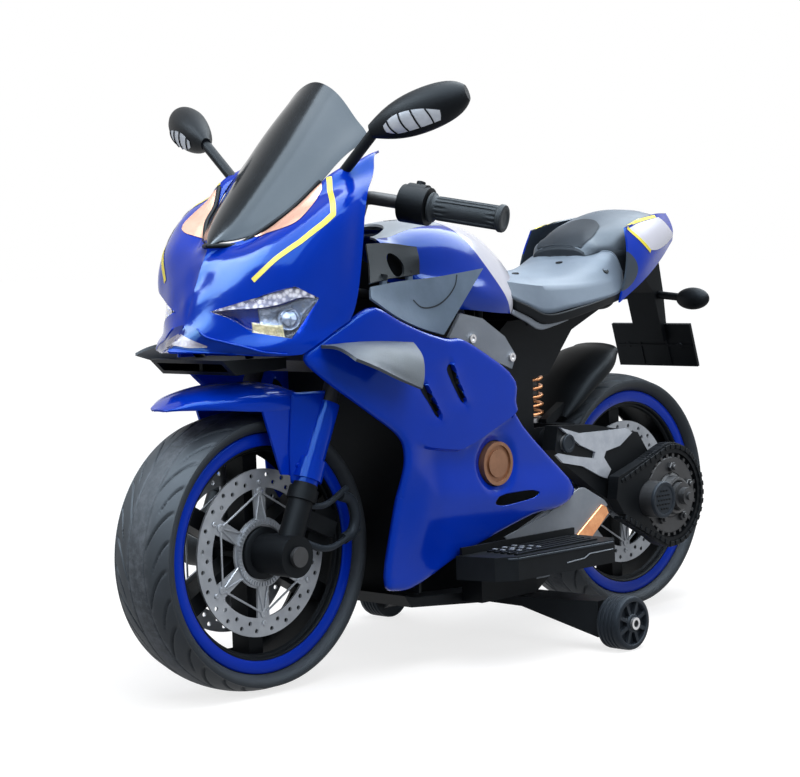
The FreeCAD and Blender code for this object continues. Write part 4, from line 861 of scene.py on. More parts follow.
# %% [markdown]
# ## Headlights
# Each lamp is a swept-back triangle: a bright light strip along the top edge, a round projector,
# a warm corner reflector and a faceted bowl, all under a thin clear cover.
# The lamp is skinned between its top and bottom edges, and the parts sit at different depths behind it.

# %% Headlights
LAMP_STEPS = 40
LAMP_TOP = curve(LAMP_STEPS + 1, (450, 36, 492), (432, 63, 501), (415, 88, 508), (382, 121, 518),
                 (361, 140, 505))
LAMP_LOW = curve(LAMP_STEPS + 1, (450, 36, 492), (433, 60, 480), (425, 84, 465), (390, 119, 455),
                 (361, 140, 505))
LAMP_OUT = Vector((0.72, 0.66, 0.2)).normalized()
WHOLE = (0.0, 1.0)


def lamp_point(s, t, depth):
    # s runs along the lamp and t from its top edge to its bottom edge, both from zero to one
    i = min(int(s * LAMP_STEPS), LAMP_STEPS - 1)
    f = s * LAMP_STEPS - i
    high = LAMP_TOP[i].lerp(LAMP_TOP[i + 1], f)
    low = LAMP_LOW[i].lerp(LAMP_LOW[i + 1], f)
    return high.lerp(low, t) - LAMP_OUT * (depth * 0.001)


def bowl_depth(s, t):
    return 4.0 + 16.0 * sin(pi * min(max((s - 0.25) / 0.75, 0.0), 1.0)) * sin(pi * t)


def lamp_part(name, along, down, depth, finish, slot="clear_lens", wall=0.0015, wide=24, tall=8):
    verts = []
    for j in range(tall + 1):
        for i in range(wide + 1):
            s = along[0] + (along[1] - along[0]) * i / wide
            t = down[0] + (down[1] - down[0]) * j / tall
            verts.append(lamp_point(s, t, depth(s, t) if callable(depth) else depth))
    return pair(name, (verts, grid_faces(tall + 1, wide + 1)), finish, slot, wall=wall)


lamp_part("lamp_light_strips", (0.03, 0.95), (0.03, 0.25), 3.0, led)
lamp_part("lamp_bowls", (0.42, 0.97), (0.25, 0.98), bowl_depth, chrome)
# A dark blue sheet deep behind each lamp is painted shade, the shadow inside the lamp opening.
lamp_part("lamp_painted_shade_backs", (0.02, 0.99), WHOLE, 22.0, painted_shade_blue, "blue_gloss")
lamp_part("lamp_corners", (0.36, 0.60), (0.66, 0.97), 3.5, amber, wall=0.002)
cover = lamp_part("lamp_covers", WHOLE, WHOLE, 0.2, clear, wall=0.0012)
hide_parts("headlights")
eye = [(-4.0, 13.5), (3.0, 14.5), (5.0, 14.0), (4.0, 12.0), (4.4, 11.0), (7.2, 9.0), (8.8, 5.6), (9.4, 0.8)]
pair("lamp_projectors", spun(lamp_point(0.66, 0.58, 11.0), LAMP_OUT, eye, 40), chrome, "clear_lens", 25.0)
print("headlights made")

# %% [markdown]
# ## Stripes and screen trims
# A thin yellow film turns one corner on each side of the nose.
# Beside the screen a rose metal inlay fills the gap between glass and cowl, and a black gasket
# runs round its foot.
# The nose has a lip below with a dark blue band of painted shade under it, and a small lens on each side of
# its tip.

# %% Nose stripes and screen trims
NOSE_HEART = at(250, 0, 520)


def on_nose(points, lift):
    return [drape("nose_cowl", p, NOSE_HEART, lift)[0] for p in points]


def nose_patch(name, rows, lift, across, along, finish, slot):
    pair(name, draped("nose_cowl", rows, NOSE_HEART, lift, across, along), finish, slot, 40.0)


stripe = row((302, 104, 656), (317, 122, 633), (336, 144, 608), (350, 142, 598), (379, 128, 575),
             (403, 107, 554), (420, 84, 529))
pair("nose_stripes", film("nose_cowl", stripe, 7.0, NOSE_HEART, 0.7, 90), yellow, "blue_gloss", 50.0)
inlay_in = row((384, 49, 585), (360, 68, 605), (335, 84, 627), (318, 92, 642), (309, 97, 649))
inlay_out = row((384, 51, 584), (378, 92, 592), (366, 110, 601), (338, 112, 624), (317, 106, 641))
nose_patch("screen_inlays", [inlay_in, inlay_out], 0.8, 30, 12, rose, "bronze_plastic")
lip_high = row((470, 0, 474), (459, 23, 471), (457, 37, 461), (432, 88, 446), (398, 118, 437))
lip_low = row((490, 0, 447), (462, 40, 443), (446, 66, 440), (425, 90, 438.5), (399, 116, 436))
# The dark blue band between the lip and the lower edge is painted shade, where the nose turns under.
nose_patch("nose_lip_painted_shades", [lip_high, lip_low], 0.7, 40, 10, painted_shade_blue, "blue_gloss")
pair("nose_lips", swept(on_nose(smooth_line(lip_high[1:], 40), 0.8), 1.3, 8), blue, "blue_gloss", 60.0)
lens_high = row((473, 0, 464), (467, 22, 457), (460, 40, 449))
lens_low = row((488, 0, 449), (473, 22, 447), (461, 40, 447))
nose_patch("nose_lenses", [lens_high, lens_low], 1.4, 20, 8, led_off, "clear_lens")
gasket = row((421, 0, 572), (406.6, 14, 573), (393.6, 30, 577.5)) + [inlay_in[1], inlay_in[2], inlay_in[4]]
pair("screen_gaskets", swept(smooth_line(on_nose(gasket, 2.2), 60), 3.0, 12), black, "black_plastic", 60.0)
print("stripes and screen trims made")

# %% [markdown]
# ## Seat
# The seat is one hard shell whose front corners wrap round the tank. A black band with a grey lip
# runs under it, a bead follows its rear edge and three screws hold it.

# %% Seat
SEAT_HEART = at(-200, 0, 430)
SEAT_TOP = [[(-38, 91, 512), (-36, 70, 519), (-35, 35, 522), (-35, 0, 523)],
            [(-75, 92, 507), (-75, 72, 516), (-75, 36, 520), (-75, 0, 521)],
            [(-115, 93, 502.5), (-115, 74, 513), (-115, 37, 519), (-115, 0, 520.5)],
            [(-170, 93, 500), (-170, 75, 512), (-170, 38, 520), (-170, 0, 522)],
            [(-225, 93, 500.5), (-225, 76, 515), (-225, 39, 525.5), (-225, 0, 528)],
            [(-270, 92.5, 504.5), (-262, 77, 523), (-252, 40, 532), (-250, 0, 534)],
            [(-298, 90, 510), (-290, 76, 535), (-268, 44, 539), (-262, 0, 537)],
            [(-316, 85, 515), (-309, 72, 544), (-286, 50, 545), (-272, 0, 540)]]
SEAT_LOW = row((-50, 100, 488), (-82, 102, 476), (-115, 105, 464), (-170, 106.5, 469), (-225, 105.5, 475.5),
               (-270, 103, 482), (-294, 98, 488), (-308, 93, 497))
seat_top = skinned([both_ways(points) for points in SEAT_TOP], 48, 72)
seat_side = skinned([row(*(points[0] for points in SEAT_TOP)), SEAT_LOW], 72, 6)
shell = joined(seat_top, joined(seat_side, flipped(seat_side)))
shell = made("seat_shell", shell, seat_grey, "grey_plastic", 40.0, wall=0.002)
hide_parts("seat_pad")
band = [row((-50, 100, 487), (-81, 102, 476), (-114, 106, 463), (-193, 107, 471), (-250, 103, 480),
            (-303, 94, 489)),
        row((-53, 99, 473), (-80, 102, 462), (-103, 105, 451), (-147, 106, 452), (-220, 104, 464),
            (-293, 94, 476))]
pair("seat_bands", skinned(band, 48, 6), black, "black_plastic", 50.0, wall=0.006)
lip = [row((-53, 98, 472), (-80, 101, 461), (-103, 104.5, 450), (-130, 105.5, 450), (-162, 105.5, 455)),
       row((-50, 97, 466), (-76, 100, 454), (-100, 103.5, 442), (-130, 104.5, 446), (-162, 104.5, 453))]
pair("seat_lips", skinned(lip, 30, 5), grey, "grey_plastic", 50.0, wall=0.004)
bead = [p + at(0, 0, 0.6) for p in smooth_line(both_ways(SEAT_TOP[-1]), 90)]
made("seat_rim", swept(bead, 1.5, 8), seat_grey, "grey_plastic", 60.0)
screws = []
for spot in row((-245, 26, 0), (-276, 84, 0), (-129, 38, 0)):
    place = min(seat_top[0], key=lambda p: hypot(p.x - spot.x, p.y - spot.y)) + at(0, 0, 1.9)
    normal = drape("seat_pad", place, SEAT_HEART, 0.0)[1]
    screws.append(spun(place, normal, [(-1.0, 5.2), (0.5, 5.2), (0.7, 4.2), (0.2, 3.4), (0.2, 0.2)], 20))
made("seat_screws", joined(*screws), black, "black_plastic", 30.0)
print("seat made")

# %% [markdown]
# ## Hump, tail and plate
# The hump behind the seat has a darker panel in front and a skirt round its foot.
# The tail carries a pale panel between two yellow stripes. The plate holder has ribs and two bolts.

# %% Hump, tail and plate
TAIL_HEART = at(-385, 30, 550)
PLATE_LEAN = radians(17)
PLATE_OUT = Vector((cos(PLATE_LEAN), 0, -sin(PLATE_LEAN)))
PLATE_DOWN = Vector((-sin(PLATE_LEAN), 0, -cos(PLATE_LEAN)))
pad = [both_ways([(-322, -40, 584), (-334, -22, 592), (-337, 0, 595)]),
       both_ways([(-302, -45, 571), (-305, -24, 581), (-307, 0, 584)]),
       both_ways([(-286, -43, 559), (-286, -24, 568), (-286, 0, 571)]),
       both_ways([(-276, -39, 550), (-275.5, -22, 556), (-275, 0, 557.5)])]
made("hump_panel", draped("seat_base", pad, at(-380, 0, 540), 1.2, 30, 16), dark_grey, "grey_plastic", 50.0)
skirt = both_ways([(-374, 73, 562), (-337, 78, 550), (-315, 71, 548), (-293, 59.5, 548), (-273.5, 49, 543),
                   (-273, 44, 549), (-273, 26, 555), (-273, 0, 557)])
hem = [Vector((p.x, p.y, 0.500 if abs(p.y) > 0.055 else 0.525)) for p in skirt]
made("hump_skirt", skinned([skirt, hem], 80, 6), dark_grey, "grey_plastic", 50.0, wall=0.002)
panel = [row((-326, 91, 580), (-355, 87, 588), (-395, 79, 593), (-428, 69, 596)),
         row((-366, 100, 547), (-390, 95, 547), (-430, 80, 554), (-474, 59, 565))]
pair("tail_panels", draped("tail_cowl", panel, TAIL_HEART, 0.6, 30, 14), pearl, "blue_gloss", 50.0)
for name, path, width in (("tail_stripes_high", row((-322, 89, 584), (-352, 85, 590), (-417, 71, 597)), 5.0),
                          ("tail_stripes_low", row((-322, 91, 581), (-340, 97, 566), (-366, 100, 545)), 6.0)):
    pair(name, film("tail_cowl", path, width, TAIL_HEART, 0.9, 40), yellow, "blue_gloss", 50.0)
plate_mid = at(-491, 0, 430) + PLATE_DOWN * 0.035
bolt = [(-4.5, 0.2), (-4.5, 2.8), (0.2, 2.8), (0.2, 4.6), (1.4, 3.8), (1.6, 0.2)]
pair("plate_bolts", spun(plate_mid + at(0, 50, 0), PLATE_OUT, bolt, 20), black, "black_metal", 30.0)
rib_mid = plate_mid + PLATE_OUT * 0.0006
ribs = [slab(rib_mid, (0.073, 0.0014, 0.0009), ALONG_Y, PLATE_DOWN)]
for y in (-26, 26):
    ribs.append(slab(rib_mid + at(0, y, 0), (0.0014, 0.033, 0.0009), ALONG_Y, PLATE_DOWN))
made("plate_ribs", joined(*ribs), black, "black_plastic", 30.0)
print("hump, tail and plate dressed")

# %% [markdown]
# ## Mirror lenses, guards, footrests and ducts
# Each mirror pod has a ribbed lens at the front. The heel guards are wider at the rear than the
# moulding behind them and end in a copper strip.
# Each footrest has a dark outer edge, a step line and a field of studs.
# A dark film curves across each duct panel as painted shade for a groove, and a black patch on the tank
# behind the opening is painted shade for the hole.

# %% Mirror lenses, guards, footrests and ducts
POD_HEART = at(245, 215, 722)
RIB_STEPS = 8
lens_rows = [row((284, 184, 716), (282, 200, 727), (273, 231, 734), (257, 257, 732)),
             row((283, 184, 707), (276, 199, 705), (265, 226, 711), (251, 253, 720))]
lens = draped("mirror_left", lens_rows, POD_HEART, 0.8, 28, 10)
high, low = [smooth_line(points, 40) for points in lens_rows]
ribs = []
for i in (4, 13, 21, 30):
    line = [high[i].lerp(low[i + 4], t / RIB_STEPS) for t in range(RIB_STEPS + 1)]
    ribs.append(swept([drape("mirror_left", p, POD_HEART, 1.2)[0] for p in line], 1.1, 6))
ribs = joined(*ribs)
for side, turn in (("mirror_left", lambda m: m), ("mirror_right", flipped)):
    made(side + "_lens", turn(lens), silver, "clear_lens", 50.0, side + "_body")
    made(side + "_ribs", turn(ribs), black, "black_plastic", 50.0, side + "_body")
guard = [(-6, 160), (-97, 180), (-150, 202), (-172, 211), (-184, 210), (-228, 188), (-236, 180), (-198, 138),
         (-120, 118), (-50, 128)]
pair("heel_guard_skins", cut_sheet(guard, 109.2, 111.4), grey, "grey_plastic", 30.0, bevel=0.0008)
strip = [(-158, 142), (-219, 182), (-229, 178), (-235, 168), (-193, 136)]
pair("heel_guard_strips", cut_sheet(strip, 110.5, 114.5), copper, "copper_coat", 30.0, bevel=0.0012)
cap = [(13.2, 104.2), (13.2, 106.6), (12.2, 107.6), (8.6, 107.6), (8.2, 106.9), (0.4, 106.9)]
pair("pivot_caps", turned_ring(cap, at(-157, 0, 276), 40, False), dark_grey, "black_plastic", 30.0)
edge = row((84, 196, 147), (74, 205, 147), (20, 207.5, 147), (-60, 211, 147), (-118, 212.6, 147))
pair("footrest_edges", swept(evenly(edge, 24), 1.7, 8), dark_grey, "grey_plastic", 60.0)
step = row((-23, 208.8, 130), (-58, 210.6, 132), (-69, 211.2, 137), (-118, 212.8, 137.5))
pair("footrest_steps", swept(step, 0.9, 6), grey, "grey_plastic", 60.0)
studs = []
for i in range(6):
    for j in range(4):
        spot = at(2 + 10 * i, 138 + 14 * j + (7 if i % 2 else 0), 153)
        place, _ = drape("footrests", spot, Vector((spot.x, spot.y, 0.0)), 0.4)
        studs.append(slab(place, (0.0022, 0.0034, 0.0009)))
pair("footrest_studs", joined(*studs), grey, "grey_plastic", 30.0, bevel=0.0005)
# The groove is a flat dark film, painted shade rather than relief.
arc = curve(60, (179, 127, 495), (165, 128, 485), (136, 126, 485), (110, 124, 495), (91, 121, 511),
            (84, 119, 525))
arc = film("duct_panels", arc, 2.2, at(135, 60, 505), 0.4, 60)
pair("duct_groove_shades", arc, dark_grey, "grey_plastic", 50.0)
# A black patch on the tank behind each duct opening is painted shade for the dark hole.
throat_shade = [row((190, 104, 567), (170, 106, 567), (150, 110, 567)),
          row((192, 104, 541), (170, 106, 541), (149, 110, 541)),
          row((190, 104, 517), (170, 106, 517), (150, 110, 517))]
throat_shade = draped("tank_cover", throat_shade, at(165, 40, 541), 0.8, 16, 16)
pair("duct_throat_shades", throat_shade, black, "black_plastic", 50.0)
print("mirrors, guards, footrests and ducts dressed")

# %% [markdown]
# ## Chain drive cover
# The final drive is a moulding that imitates a chain and sprocket. Links stand along its edge, teeth and five
# nuts stand in the well, and the motor shows an end cap in a dark ring, with small black slabs of painted
# shade for its slots.

# %% Chain links, sprocket and motor end
LINKS = 74
CHAIN_RADIUS = 73.0
SPROCKET_TEETH = 26
NUT_CIRCLE = 42.0
SLOT_PITCH = 6.6
SLOT_REACH = 330.0
MOTOR = at(-321.0, 0.0, 180.0)


def drive_piece(name, mesh, finish, slot, angle, bevel=0.0):
    made(name, mesh, finish, slot, angle, "swingarm_body", bevel)


run = [REAR_AXLE + at(118, 120, 34)]
run += [round_at(REAR_AXLE, CHAIN_RADIUS, 120, radians(82 + 196 * i / 32)) for i in range(33)]
run = evenly(run + [REAR_AXLE + at(112, 120, -22)], LINKS)
links = []
for i, p in enumerate(run):
    ahead = (run[min(i + 1, LINKS - 1)] - run[max(i - 1, 0)]).normalized()
    wide = 0.0036 if i % 2 else 0.0030
    links.append(slab(p + at(0, 4.4 if i % 2 else 3.2, 0), (0.0038, 0.0022, wide), ahead))
    out = p - REAR_AXLE
    out.y = 0.0
    links.append(slab(p + out.normalized() * 0.0036 - at(0, 7.0, 0), (0.0030, 0.0075, 0.0022), ahead))
drive_piece("chain_links", joined(*links), black, "black_plastic", 30.0, 0.0006)

sprocket = [turned_ring([(34, 118.2), (34, 121.4), (56, 121.4), (57.5, 120.4), (57.5, 118.2)], REAR_AXLE, 90)]
for i in range(SPROCKET_TEETH):
    out = spoke(2 * pi * i / SPROCKET_TEETH)
    sprocket.append(slab(REAR_AXLE + out * 0.0594 + at(0, 119.8, 0), (0.0026, 0.0016, 0.0026), out))
hub = [(20.3, 118.2), (20.3, 134.0), (23.5, 136.0), (27.0, 134.5), (29.5, 124.0), (33.0, 121.6),
       (33.0, 118.2)]
sprocket.append(turned_ring(hub, REAR_AXLE, 60))
drive_piece("chain_sprocket", joined(*sprocket), dark_steel, "black_metal", 30.0)
nuts = []
for i in range(5):
    spot = round_at(REAR_AXLE, NUT_CIRCLE, 0, 2 * pi * (i + 0.25) / 5)
    nuts.append(turned_ring([(7.6, 121.4), (7.6, 126.0), (6.6, 127.2), (4.4, 127.2)], spot, 6, False))
    nuts.append(turned_ring([(4.0, 127.0), (4.0, 130.0), (3.2, 131.0), (0.5, 131.0)], spot, 16, False))
drive_piece("sprocket_nuts", joined(*nuts), dark_steel, "black_metal", 25.0)

bezel = [(21.0, 148.5), (21.0, 150.2), (23.0, 151.2), (26.0, 150.8), (27.2, 149.2), (27.2, 146.0),
         (27.05, 146.0), (26.0, 148.5)]
drive_piece("motor_bezel", turned_ring(bezel, MOTOR, 64), dark_grey, "black_metal", 40.0)
plate = turned_ring([(21.2, 148.5), (21.2, 149.6), (0.5, 150.2)], MOTOR, 48, False)
drive_piece("motor_end_plate", plate, dark_grey, "black_metal", 30.0)
# Black slabs on the plate are painted shade, standing for the dark openings of the slots.
slot_shades = []
for z in range(-2, 3):
    for x in range(-2, 3):
        px = x * SLOT_PITCH + (SLOT_PITCH / 2 if z % 2 else 0.0)
        pz = z * SLOT_PITCH
        if px * px + pz * pz < SLOT_REACH:
            slot_shades.append(slab(MOTOR + at(px, 150.2, pz), (0.0021, 0.0007, 0.0012)))
drive_piece("motor_end_slot_shades", joined(*slot_shades), black, "black_plastic", 30.0)
print("chain drive made")

# %% [markdown]
# ## Side fairings
# Each side panel is one large blow-moulded sheet: an upper layer with two gills, a lower layer
# stepped in behind it, a dished ring round the bronze cap and a bottom that turns under.
# Its edges roll inward. The sheet is triangulated in the side view with the step lines kept as edges,
# then every point is pushed to its depth.
# The side view is measured from the front axle, in mm.

# %% Side fairings
FAIRING_EDGE = [(5, 252), (-40, 281), (-102, 315), (-150, 291), (-200, 273), (-246, 261), (-274, 263),
                (-391, 203), (-384, 152), (-541, 32), (-491, 8), (-435, 8), (-365, -10), (-275, -37),
                (-217, -60), (-182, -69), (-137, -61), (-157, 53), (-165, 110), (-160, 131), (-146, 146),
                (-97, 176), (-32, 219)]
STEP_LINE = [(-176, 131), (-205, 122), (-240, 116), (-270, 113), (-300, 121), (-340, 136), (-379, 151)]
TURN_LINE = [(-158, 60), (-190, 52), (-245, 51), (-300, 44), (-345, 38), (-420, 30), (-500, 22)]
GILLS = [[(-239, 220), (-243, 229), (-250, 227), (-260, 205), (-277, 176), (-272, 174), (-253, 199)],
         [(-188, 198), (-191, 206), (-198, 204), (-213, 183), (-227, 161), (-222, 158), (-206, 179)]]
SLOT = [(-340, 31), (-350, 43), (-420, 43), (-442, 37), (-425, 30), (-360, 26)]
AXLE_X = 375
AXLE_Z = 180
POINT_GAP = 5.0
STEP_DEPTH = 8.0
SWELL = 9.0
GILL_SINK = 5.0
GILL_LIP = 2.0
GILL_SHADE_SINK = 1.3
DISH = 6.0
EDGE_ROLL = 7.0
CAP_X = -350
CAP_Z = 86
CAP_RADIUS = 31.5
SIDE_X = (40, -30, -100, -200, -300, -420, -560)
SIDE_Z = (-100, 0, 100, 200, 300, 360)
SIDE_Y = ((96, 112, 119, 120, 119, 117, 114), (100, 120, 128, 129, 128, 126, 122),
          (104, 126, 137, 139, 138, 134, 127), (108, 132, 143, 145, 143, 138, 129),
          (112, 137, 148, 148, 145, 139, 130), (113, 139, 150, 149, 145, 139, 130))


def cubic(xs, ys, x):
    # A smooth curve through a short table
    i = 0
    while i < len(xs) - 2 and (xs[i + 1] - x) * (xs[1] - xs[0]) < 0:
        i += 1
    h = xs[i + 1] - xs[i]
    t = min(max((x - xs[i]) / h, 0.0), 1.0)
    before = max(i - 1, 0)
    after = min(i + 2, len(xs) - 1)
    m0 = (ys[i + 1] - ys[before]) / (xs[i + 1] - xs[before]) * h
    m1 = (ys[after] - ys[i]) / (xs[after] - xs[i]) * h
    return ((2 * t ** 3 - 3 * t * t + 1) * ys[i] + (t ** 3 - 2 * t * t + t) * m0
            + (3 * t * t - 2 * t ** 3) * ys[i + 1] + (t ** 3 - t * t) * m1)


def side_y(x, z):
    return cubic(SIDE_Z, [cubic(SIDE_X, line, x) for line in SIDE_Y], z)


def corner_cut(loop, rounds=1):
    for _ in range(rounds):
        out = []
        for a, b in zip(loop, loop[1:] + loop[:1]):
            out.append((a[0] * 0.8 + b[0] * 0.2, a[1] * 0.8 + b[1] * 0.2))
            out.append((a[0] * 0.2 + b[0] * 0.8, a[1] * 0.2 + b[1] * 0.8))
        loop = out
    return loop


def spaced(loop, gap, closed=True):
    points = [Vector((x, z, 0.0)) for x, z in loop]
    if closed:
        points.append(points[0])
    total = sum((b - a).length for a, b in zip(points, points[1:]))
    line = evenly(points, max(int(total / gap), 4) + 1)
    return [(p.x, p.y) for p in (line[:-1] if closed else line)]


def inside(points, loop):
    # Which of many points lie inside a closed loop
    hit = np.zeros(len(points), bool)
    for (x0, z0), (x1, z1) in zip(loop, loop[1:] + loop[:1]):
        crosses = (z0 > points[:, 1]) != (z1 > points[:, 1])
        rise = z1 - z0 if z1 != z0 else 1e-12
        hit ^= crosses & (points[:, 0] < (x1 - x0) * (points[:, 1] - z0) / rise + x0)
    return hit


def line_distance(points, line, closed=False):
    # Distance from many points to a chain of straight pieces, and the side each lies on
    best = np.full(len(points), 1e9)
    sign = np.zeros(len(points))
    chain = line + line[:1] if closed else line
    for a, b in zip(chain, chain[1:]):
        a = np.array(a, float)
        d = np.array(b, float) - a
        t = np.clip(((points - a) @ d) / (d @ d), 0.0, 1.0)
        off = points - a - t[:, None] * d
        far = np.hypot(off[:, 0], off[:, 1])
        turn = d[0] * (points[:, 1] - a[1]) - d[1] * (points[:, 0] - a[0])
        sign = np.where(far < best, np.sign(turn), sign)
        best = np.minimum(far, best)
    return best, sign


def inset(loop, depth, hole):
    # A copy of a closed loop moved into the sheet, without the points that would crowd a corner
    points = np.array(loop)
    after = np.roll(points, -1, 0)
    ahead = after - np.roll(points, 1, 0)
    aside = np.stack([-ahead[:, 1], ahead[:, 0]], 1) / np.hypot(ahead[:, 0], ahead[:, 1])[:, None]
    area = np.sum(points[:, 0] * after[:, 1] - after[:, 0] * points[:, 1])
    moved = points + aside * (depth if (area > 0) != hole else -depth)
    away, _ = line_distance(moved, loop, True)
    return [tuple(p) for p in moved[away > depth * 0.93]]


def sheet_triangles(edge, holes, folds, gap):
    # Points and triangles that fill an outline, keep the holes open and follow the fold lines
    loops = [spaced(edge, gap)] + [spaced(h, gap * 0.7) for h in holes]
    points = []
    links = []
    for line in loops + [spaced(fold, gap, False) for fold in folds]:
        base = len(points)
        points.extend(line)
        links.extend([(base + i, base + i + 1) for i in range(len(line) - 1)])
        if line in loops:
            links.append((base + len(line) - 1, base))
    for i, loop in enumerate(loops):
        for depth in (1.3, 3.2, 6.4):
            points.extend(inset(loop, depth, i > 0))
    fixed = np.array(points)
    low = fixed.min(0)
    high = fixed.max(0)
    grid = []
    shift = 0.0
    z = low[1]
    while z < high[1]:
        x = low[0] + shift
        while x < high[0]:
            grid.append((x, z))
            x += gap
        z += gap * 0.866
        shift = gap / 2 - shift
    grid = np.array(grid)
    near = np.full(len(grid), 1e9)
    for q in fixed:
        near = np.minimum(near, np.hypot(grid[:, 0] - q[0], grid[:, 1] - q[1]))
    grid = grid[inside(grid, loops[0]) & (near > gap * 0.55)]
    every = [Vector(q) for q in points] + [Vector(q) for q in grid]
    out_verts, _, out_faces, _, _, _ = delaunay_2d_cdt(every, links, [], 0, 1e-5)
    flat = np.array([(v.x, v.y) for v in out_verts])
    middles = np.array([flat[list(f)].mean(0) for f in out_faces])
    keep = inside(middles, loops[0])
    for loop in loops[1:]:
        keep &= ~inside(middles, loop)
    return flat, [tuple(f) for f, k in zip(out_faces, keep) if k], loops


def ease(t):
    t = np.clip(t, 0.0, 1.0)
    return t * t * (3 - 2 * t)


def rolled(distance, radius):
    reach = np.clip(radius - distance, 0.0, radius)
    return radius - np.sqrt(radius * radius - reach * reach)


def fairing_mesh():
    turns = np.linspace(0, 2 * pi, 40)[:-1]
    cap = [(CAP_X + CAP_RADIUS * cos(a), CAP_Z + CAP_RADIUS * sin(a)) for a in turns]
    holes = [corner_cut(loop) for loop in GILLS + [SLOT]] + [cap]
    low_step = [(x + 1.0, z - 3.0) for x, z in STEP_LINE]
    folds = [STEP_LINE, low_step, TURN_LINE]
    flat, faces, loops = sheet_triangles(corner_cut(FAIRING_EDGE, 2), holes, folds, POINT_GAP)
    x, z = flat.T
    y = np.array([side_y(*p) for p in flat])
    # The lower layer is stepped in
    away, hand = line_distance(flat, STEP_LINE)
    below = np.where(hand > 0, ease(away / 3.2), 0.0)
    below = np.where(z < 108, 1.0, below)
    fade = ease((-170 - x) / 60.0)
    fade = np.where(z < 100, np.maximum(fade, ease((108 - z) / 60.0)), fade)
    y = y - STEP_DEPTH * below * fade
    # The bottom swells at the line where it turns under
    away, hand = line_distance(flat, TURN_LINE)
    swell = np.where(hand > 0, 1.0 - ease(away / 95.0), 1.0 - ease(away / 55.0))
    y = y + SWELL * swell * ease((-150 - x) / 60.0)
    # Each gill has a sunk front and a raised lip behind it
    for gill in GILLS:
        away, hand = line_distance(flat, gill[2:5])
        length = ease((z - gill[4][1] + 14) / 22.0) * ease((gill[1][1] + 12 - z) / 20.0)
        y = y - np.where(hand > 0, GILL_SINK * np.exp(-away / 15.0), 0.0) * length
        y = y + np.where(hand <= 0, GILL_LIP * np.exp(-away / 10.0), 0.0) * length
    # The ring round the cap is dished and the outer edge rolls in
    y = y - DISH * (1.0 - ease((np.hypot(x - CAP_X, z - CAP_Z) - 31.0) / 15.0))
    y = y - rolled(line_distance(flat, loops[0], True)[0], EDGE_ROLL)
    points = [at(AXLE_X + px, depth, AXLE_Z + pz) for px, pz, depth in zip(x, z, y)]
    rims = []
    for loop in loops[1:1 + len(GILLS)]:
        near = [int(np.argmin(np.hypot(x - px, z - pz))) for px, pz in loop]
        rims.append([points[i] for i in near])
    return (points, faces), rims


# Each gill hole is backed by a black fan just below the panel, painted shade for the dark slit.
def gill_shade_sheet(rim):
    heart = sum(rim, Vector((0, 0, 0))) / len(rim)
    sunk = at(0, GILL_SHADE_SINK, 0)
    verts = [heart - sunk] + [p + (p - heart).normalized() * 0.001 - sunk for p in rim]
    return verts, [(0, i, i % len(rim) + 1) for i in range(1, len(rim) + 1)]


fairing, gill_rims = fairing_mesh()
for side, mesh in (("left", fairing), ("right", flipped(fairing))):
    panel = made("fairing_panel_" + side, mesh, blue, "blue_gloss", 42.0)
    thickened(panel, 0.002, -1.0, False)
    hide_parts("side_fairing_" + side)
# The black fans are painted shade inside the gill openings.
pair("gill_shade_sheets", joined(*[gill_shade_sheet(rim) for rim in gill_rims]), black, "black_plastic", 30.0)
print("fairings made", len(fairing[0]), "points a side")

# %% [markdown]
# ## Stage
# The bike stands on a pale floor under soft light from above and from the camera side.
# The floor glows white to the eye and to reflections, and a part of its colour is lit,
# so it keeps the shadow.
# Large bright sheets are there for the reflections alone, and three softboxes for the shading alone.

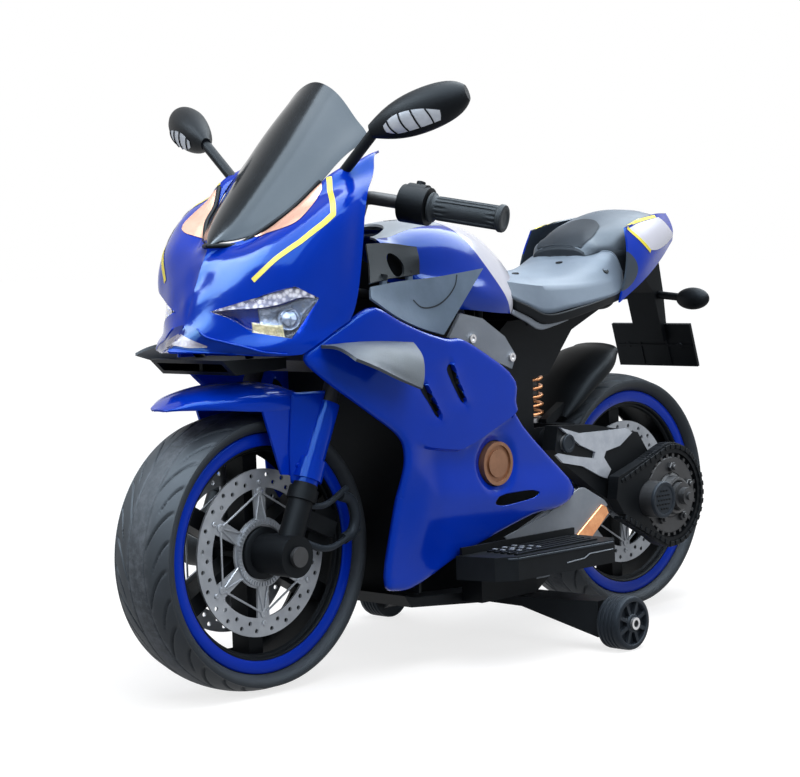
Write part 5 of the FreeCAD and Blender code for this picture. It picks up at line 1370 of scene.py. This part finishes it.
# %% Floor, world and lamps
WHITE = (1.0, 1.0, 1.0)
FLOOR_LIT = (0.36, 0.36, 0.36)
FLOOR_GLOW = 0.76
FLOOR_HALF = 30
FLOOR_Z = -0.0005
floor_finish = bpy.data.materials.new("pale_floor")
pale = Network(floor_finish)
pale.tree.nodes.remove(pale.tree.nodes["Principled BSDF"])
lit = pale.node("BsdfDiffuse", {"Color": FLOOR_LIT})
glow = pale.node("Emission", {"Color": WHITE, "Strength": pale.seen() * FLOOR_GLOW})
total = pale.node("AddShader", {0: lit, 1: glow})
pale.feed(pale.tree.nodes["Material Output"].inputs["Surface"], total)
floor_mesh = bpy.data.meshes.new("floor")
corners = [(x * FLOOR_HALF, y * FLOOR_HALF, FLOOR_Z) for x, y in ((-1, -1), (1, -1), (1, 1), (-1, 1))]
floor_mesh.from_pydata(corners, [], [(0, 1, 2, 3)])
floor_mesh.materials.append(floor_finish)
floor = placed("floor", floor_mesh)

world = bpy.data.worlds.new("soft_sky")
sky = Network(world)
sky.tree.nodes.remove(sky.tree.nodes["Background"])
ambient = sky.node("Background", {"Color": (0.86, 0.92, 1.0), "Strength": 0.30})
white = sky.node("Background", {"Color": WHITE, "Strength": 1.0})
choice = sky.node("MixShader", {0: sky.seen(), 1: ambient, 2: white})
sky.feed(sky.tree.nodes["World Output"].inputs["Surface"], choice)
bpy.context.scene.world = world


def lamp(name, kind, place, target):
    holder = placed(name, bpy.data.lights.new(name, kind))
    aim = (Vector(target) - Vector(place)).to_track_quat("-Z", "Y").to_euler()
    return configure(holder, location=place, rotation_euler=aim)


def softbox(name, place, target, width, power, deep=0.7):
    holder = lamp(name, "AREA", place, target)
    configure(holder.data, shape="RECTANGLE", size=width, size_y=width * deep, energy=power)
    return holder


day = lamp("daylight", "SUN", (0.5, 0.75, 2.2), (0.0, 0.0, 0.0))
configure(day.data, energy=1.5, angle=radians(45.0))
for soft in (softbox("overhead", (-0.2, 0.3, 2.8), (0.0, 0.0, 0.4), 2.4, 30.0),
             softbox("camera_side", (1.0, 3.0, 1.7), (0.0, 0.0, 0.4), 1.6, 22.0),
             softbox("front_fill", (3.2, -0.9, 1.5), (0.2, 0.0, 0.5), 1.2, 14.0)):
    soft.visible_glossy = False
for sheet in (softbox("bright_sky", (1.3, 1.1, 2.6), (1.3, 1.1, 0.0), 5.2, 700.0),
              softbox("front_sky", (2.6, -1.35, 2.6), (2.6, -1.35, 0.0), 2.4, 380.0),
              softbox("rear_sky", (-2.9, 0.4, 2.6), (-2.9, 0.4, 0.0), 3.2, 270.0, 0.9)):
    sheet.data.color = (0.86, 0.94, 1.0)
    sheet.visible_diffuse = False
bpy.context.scene.view_settings.view_transform = "Standard"
print("stage set")
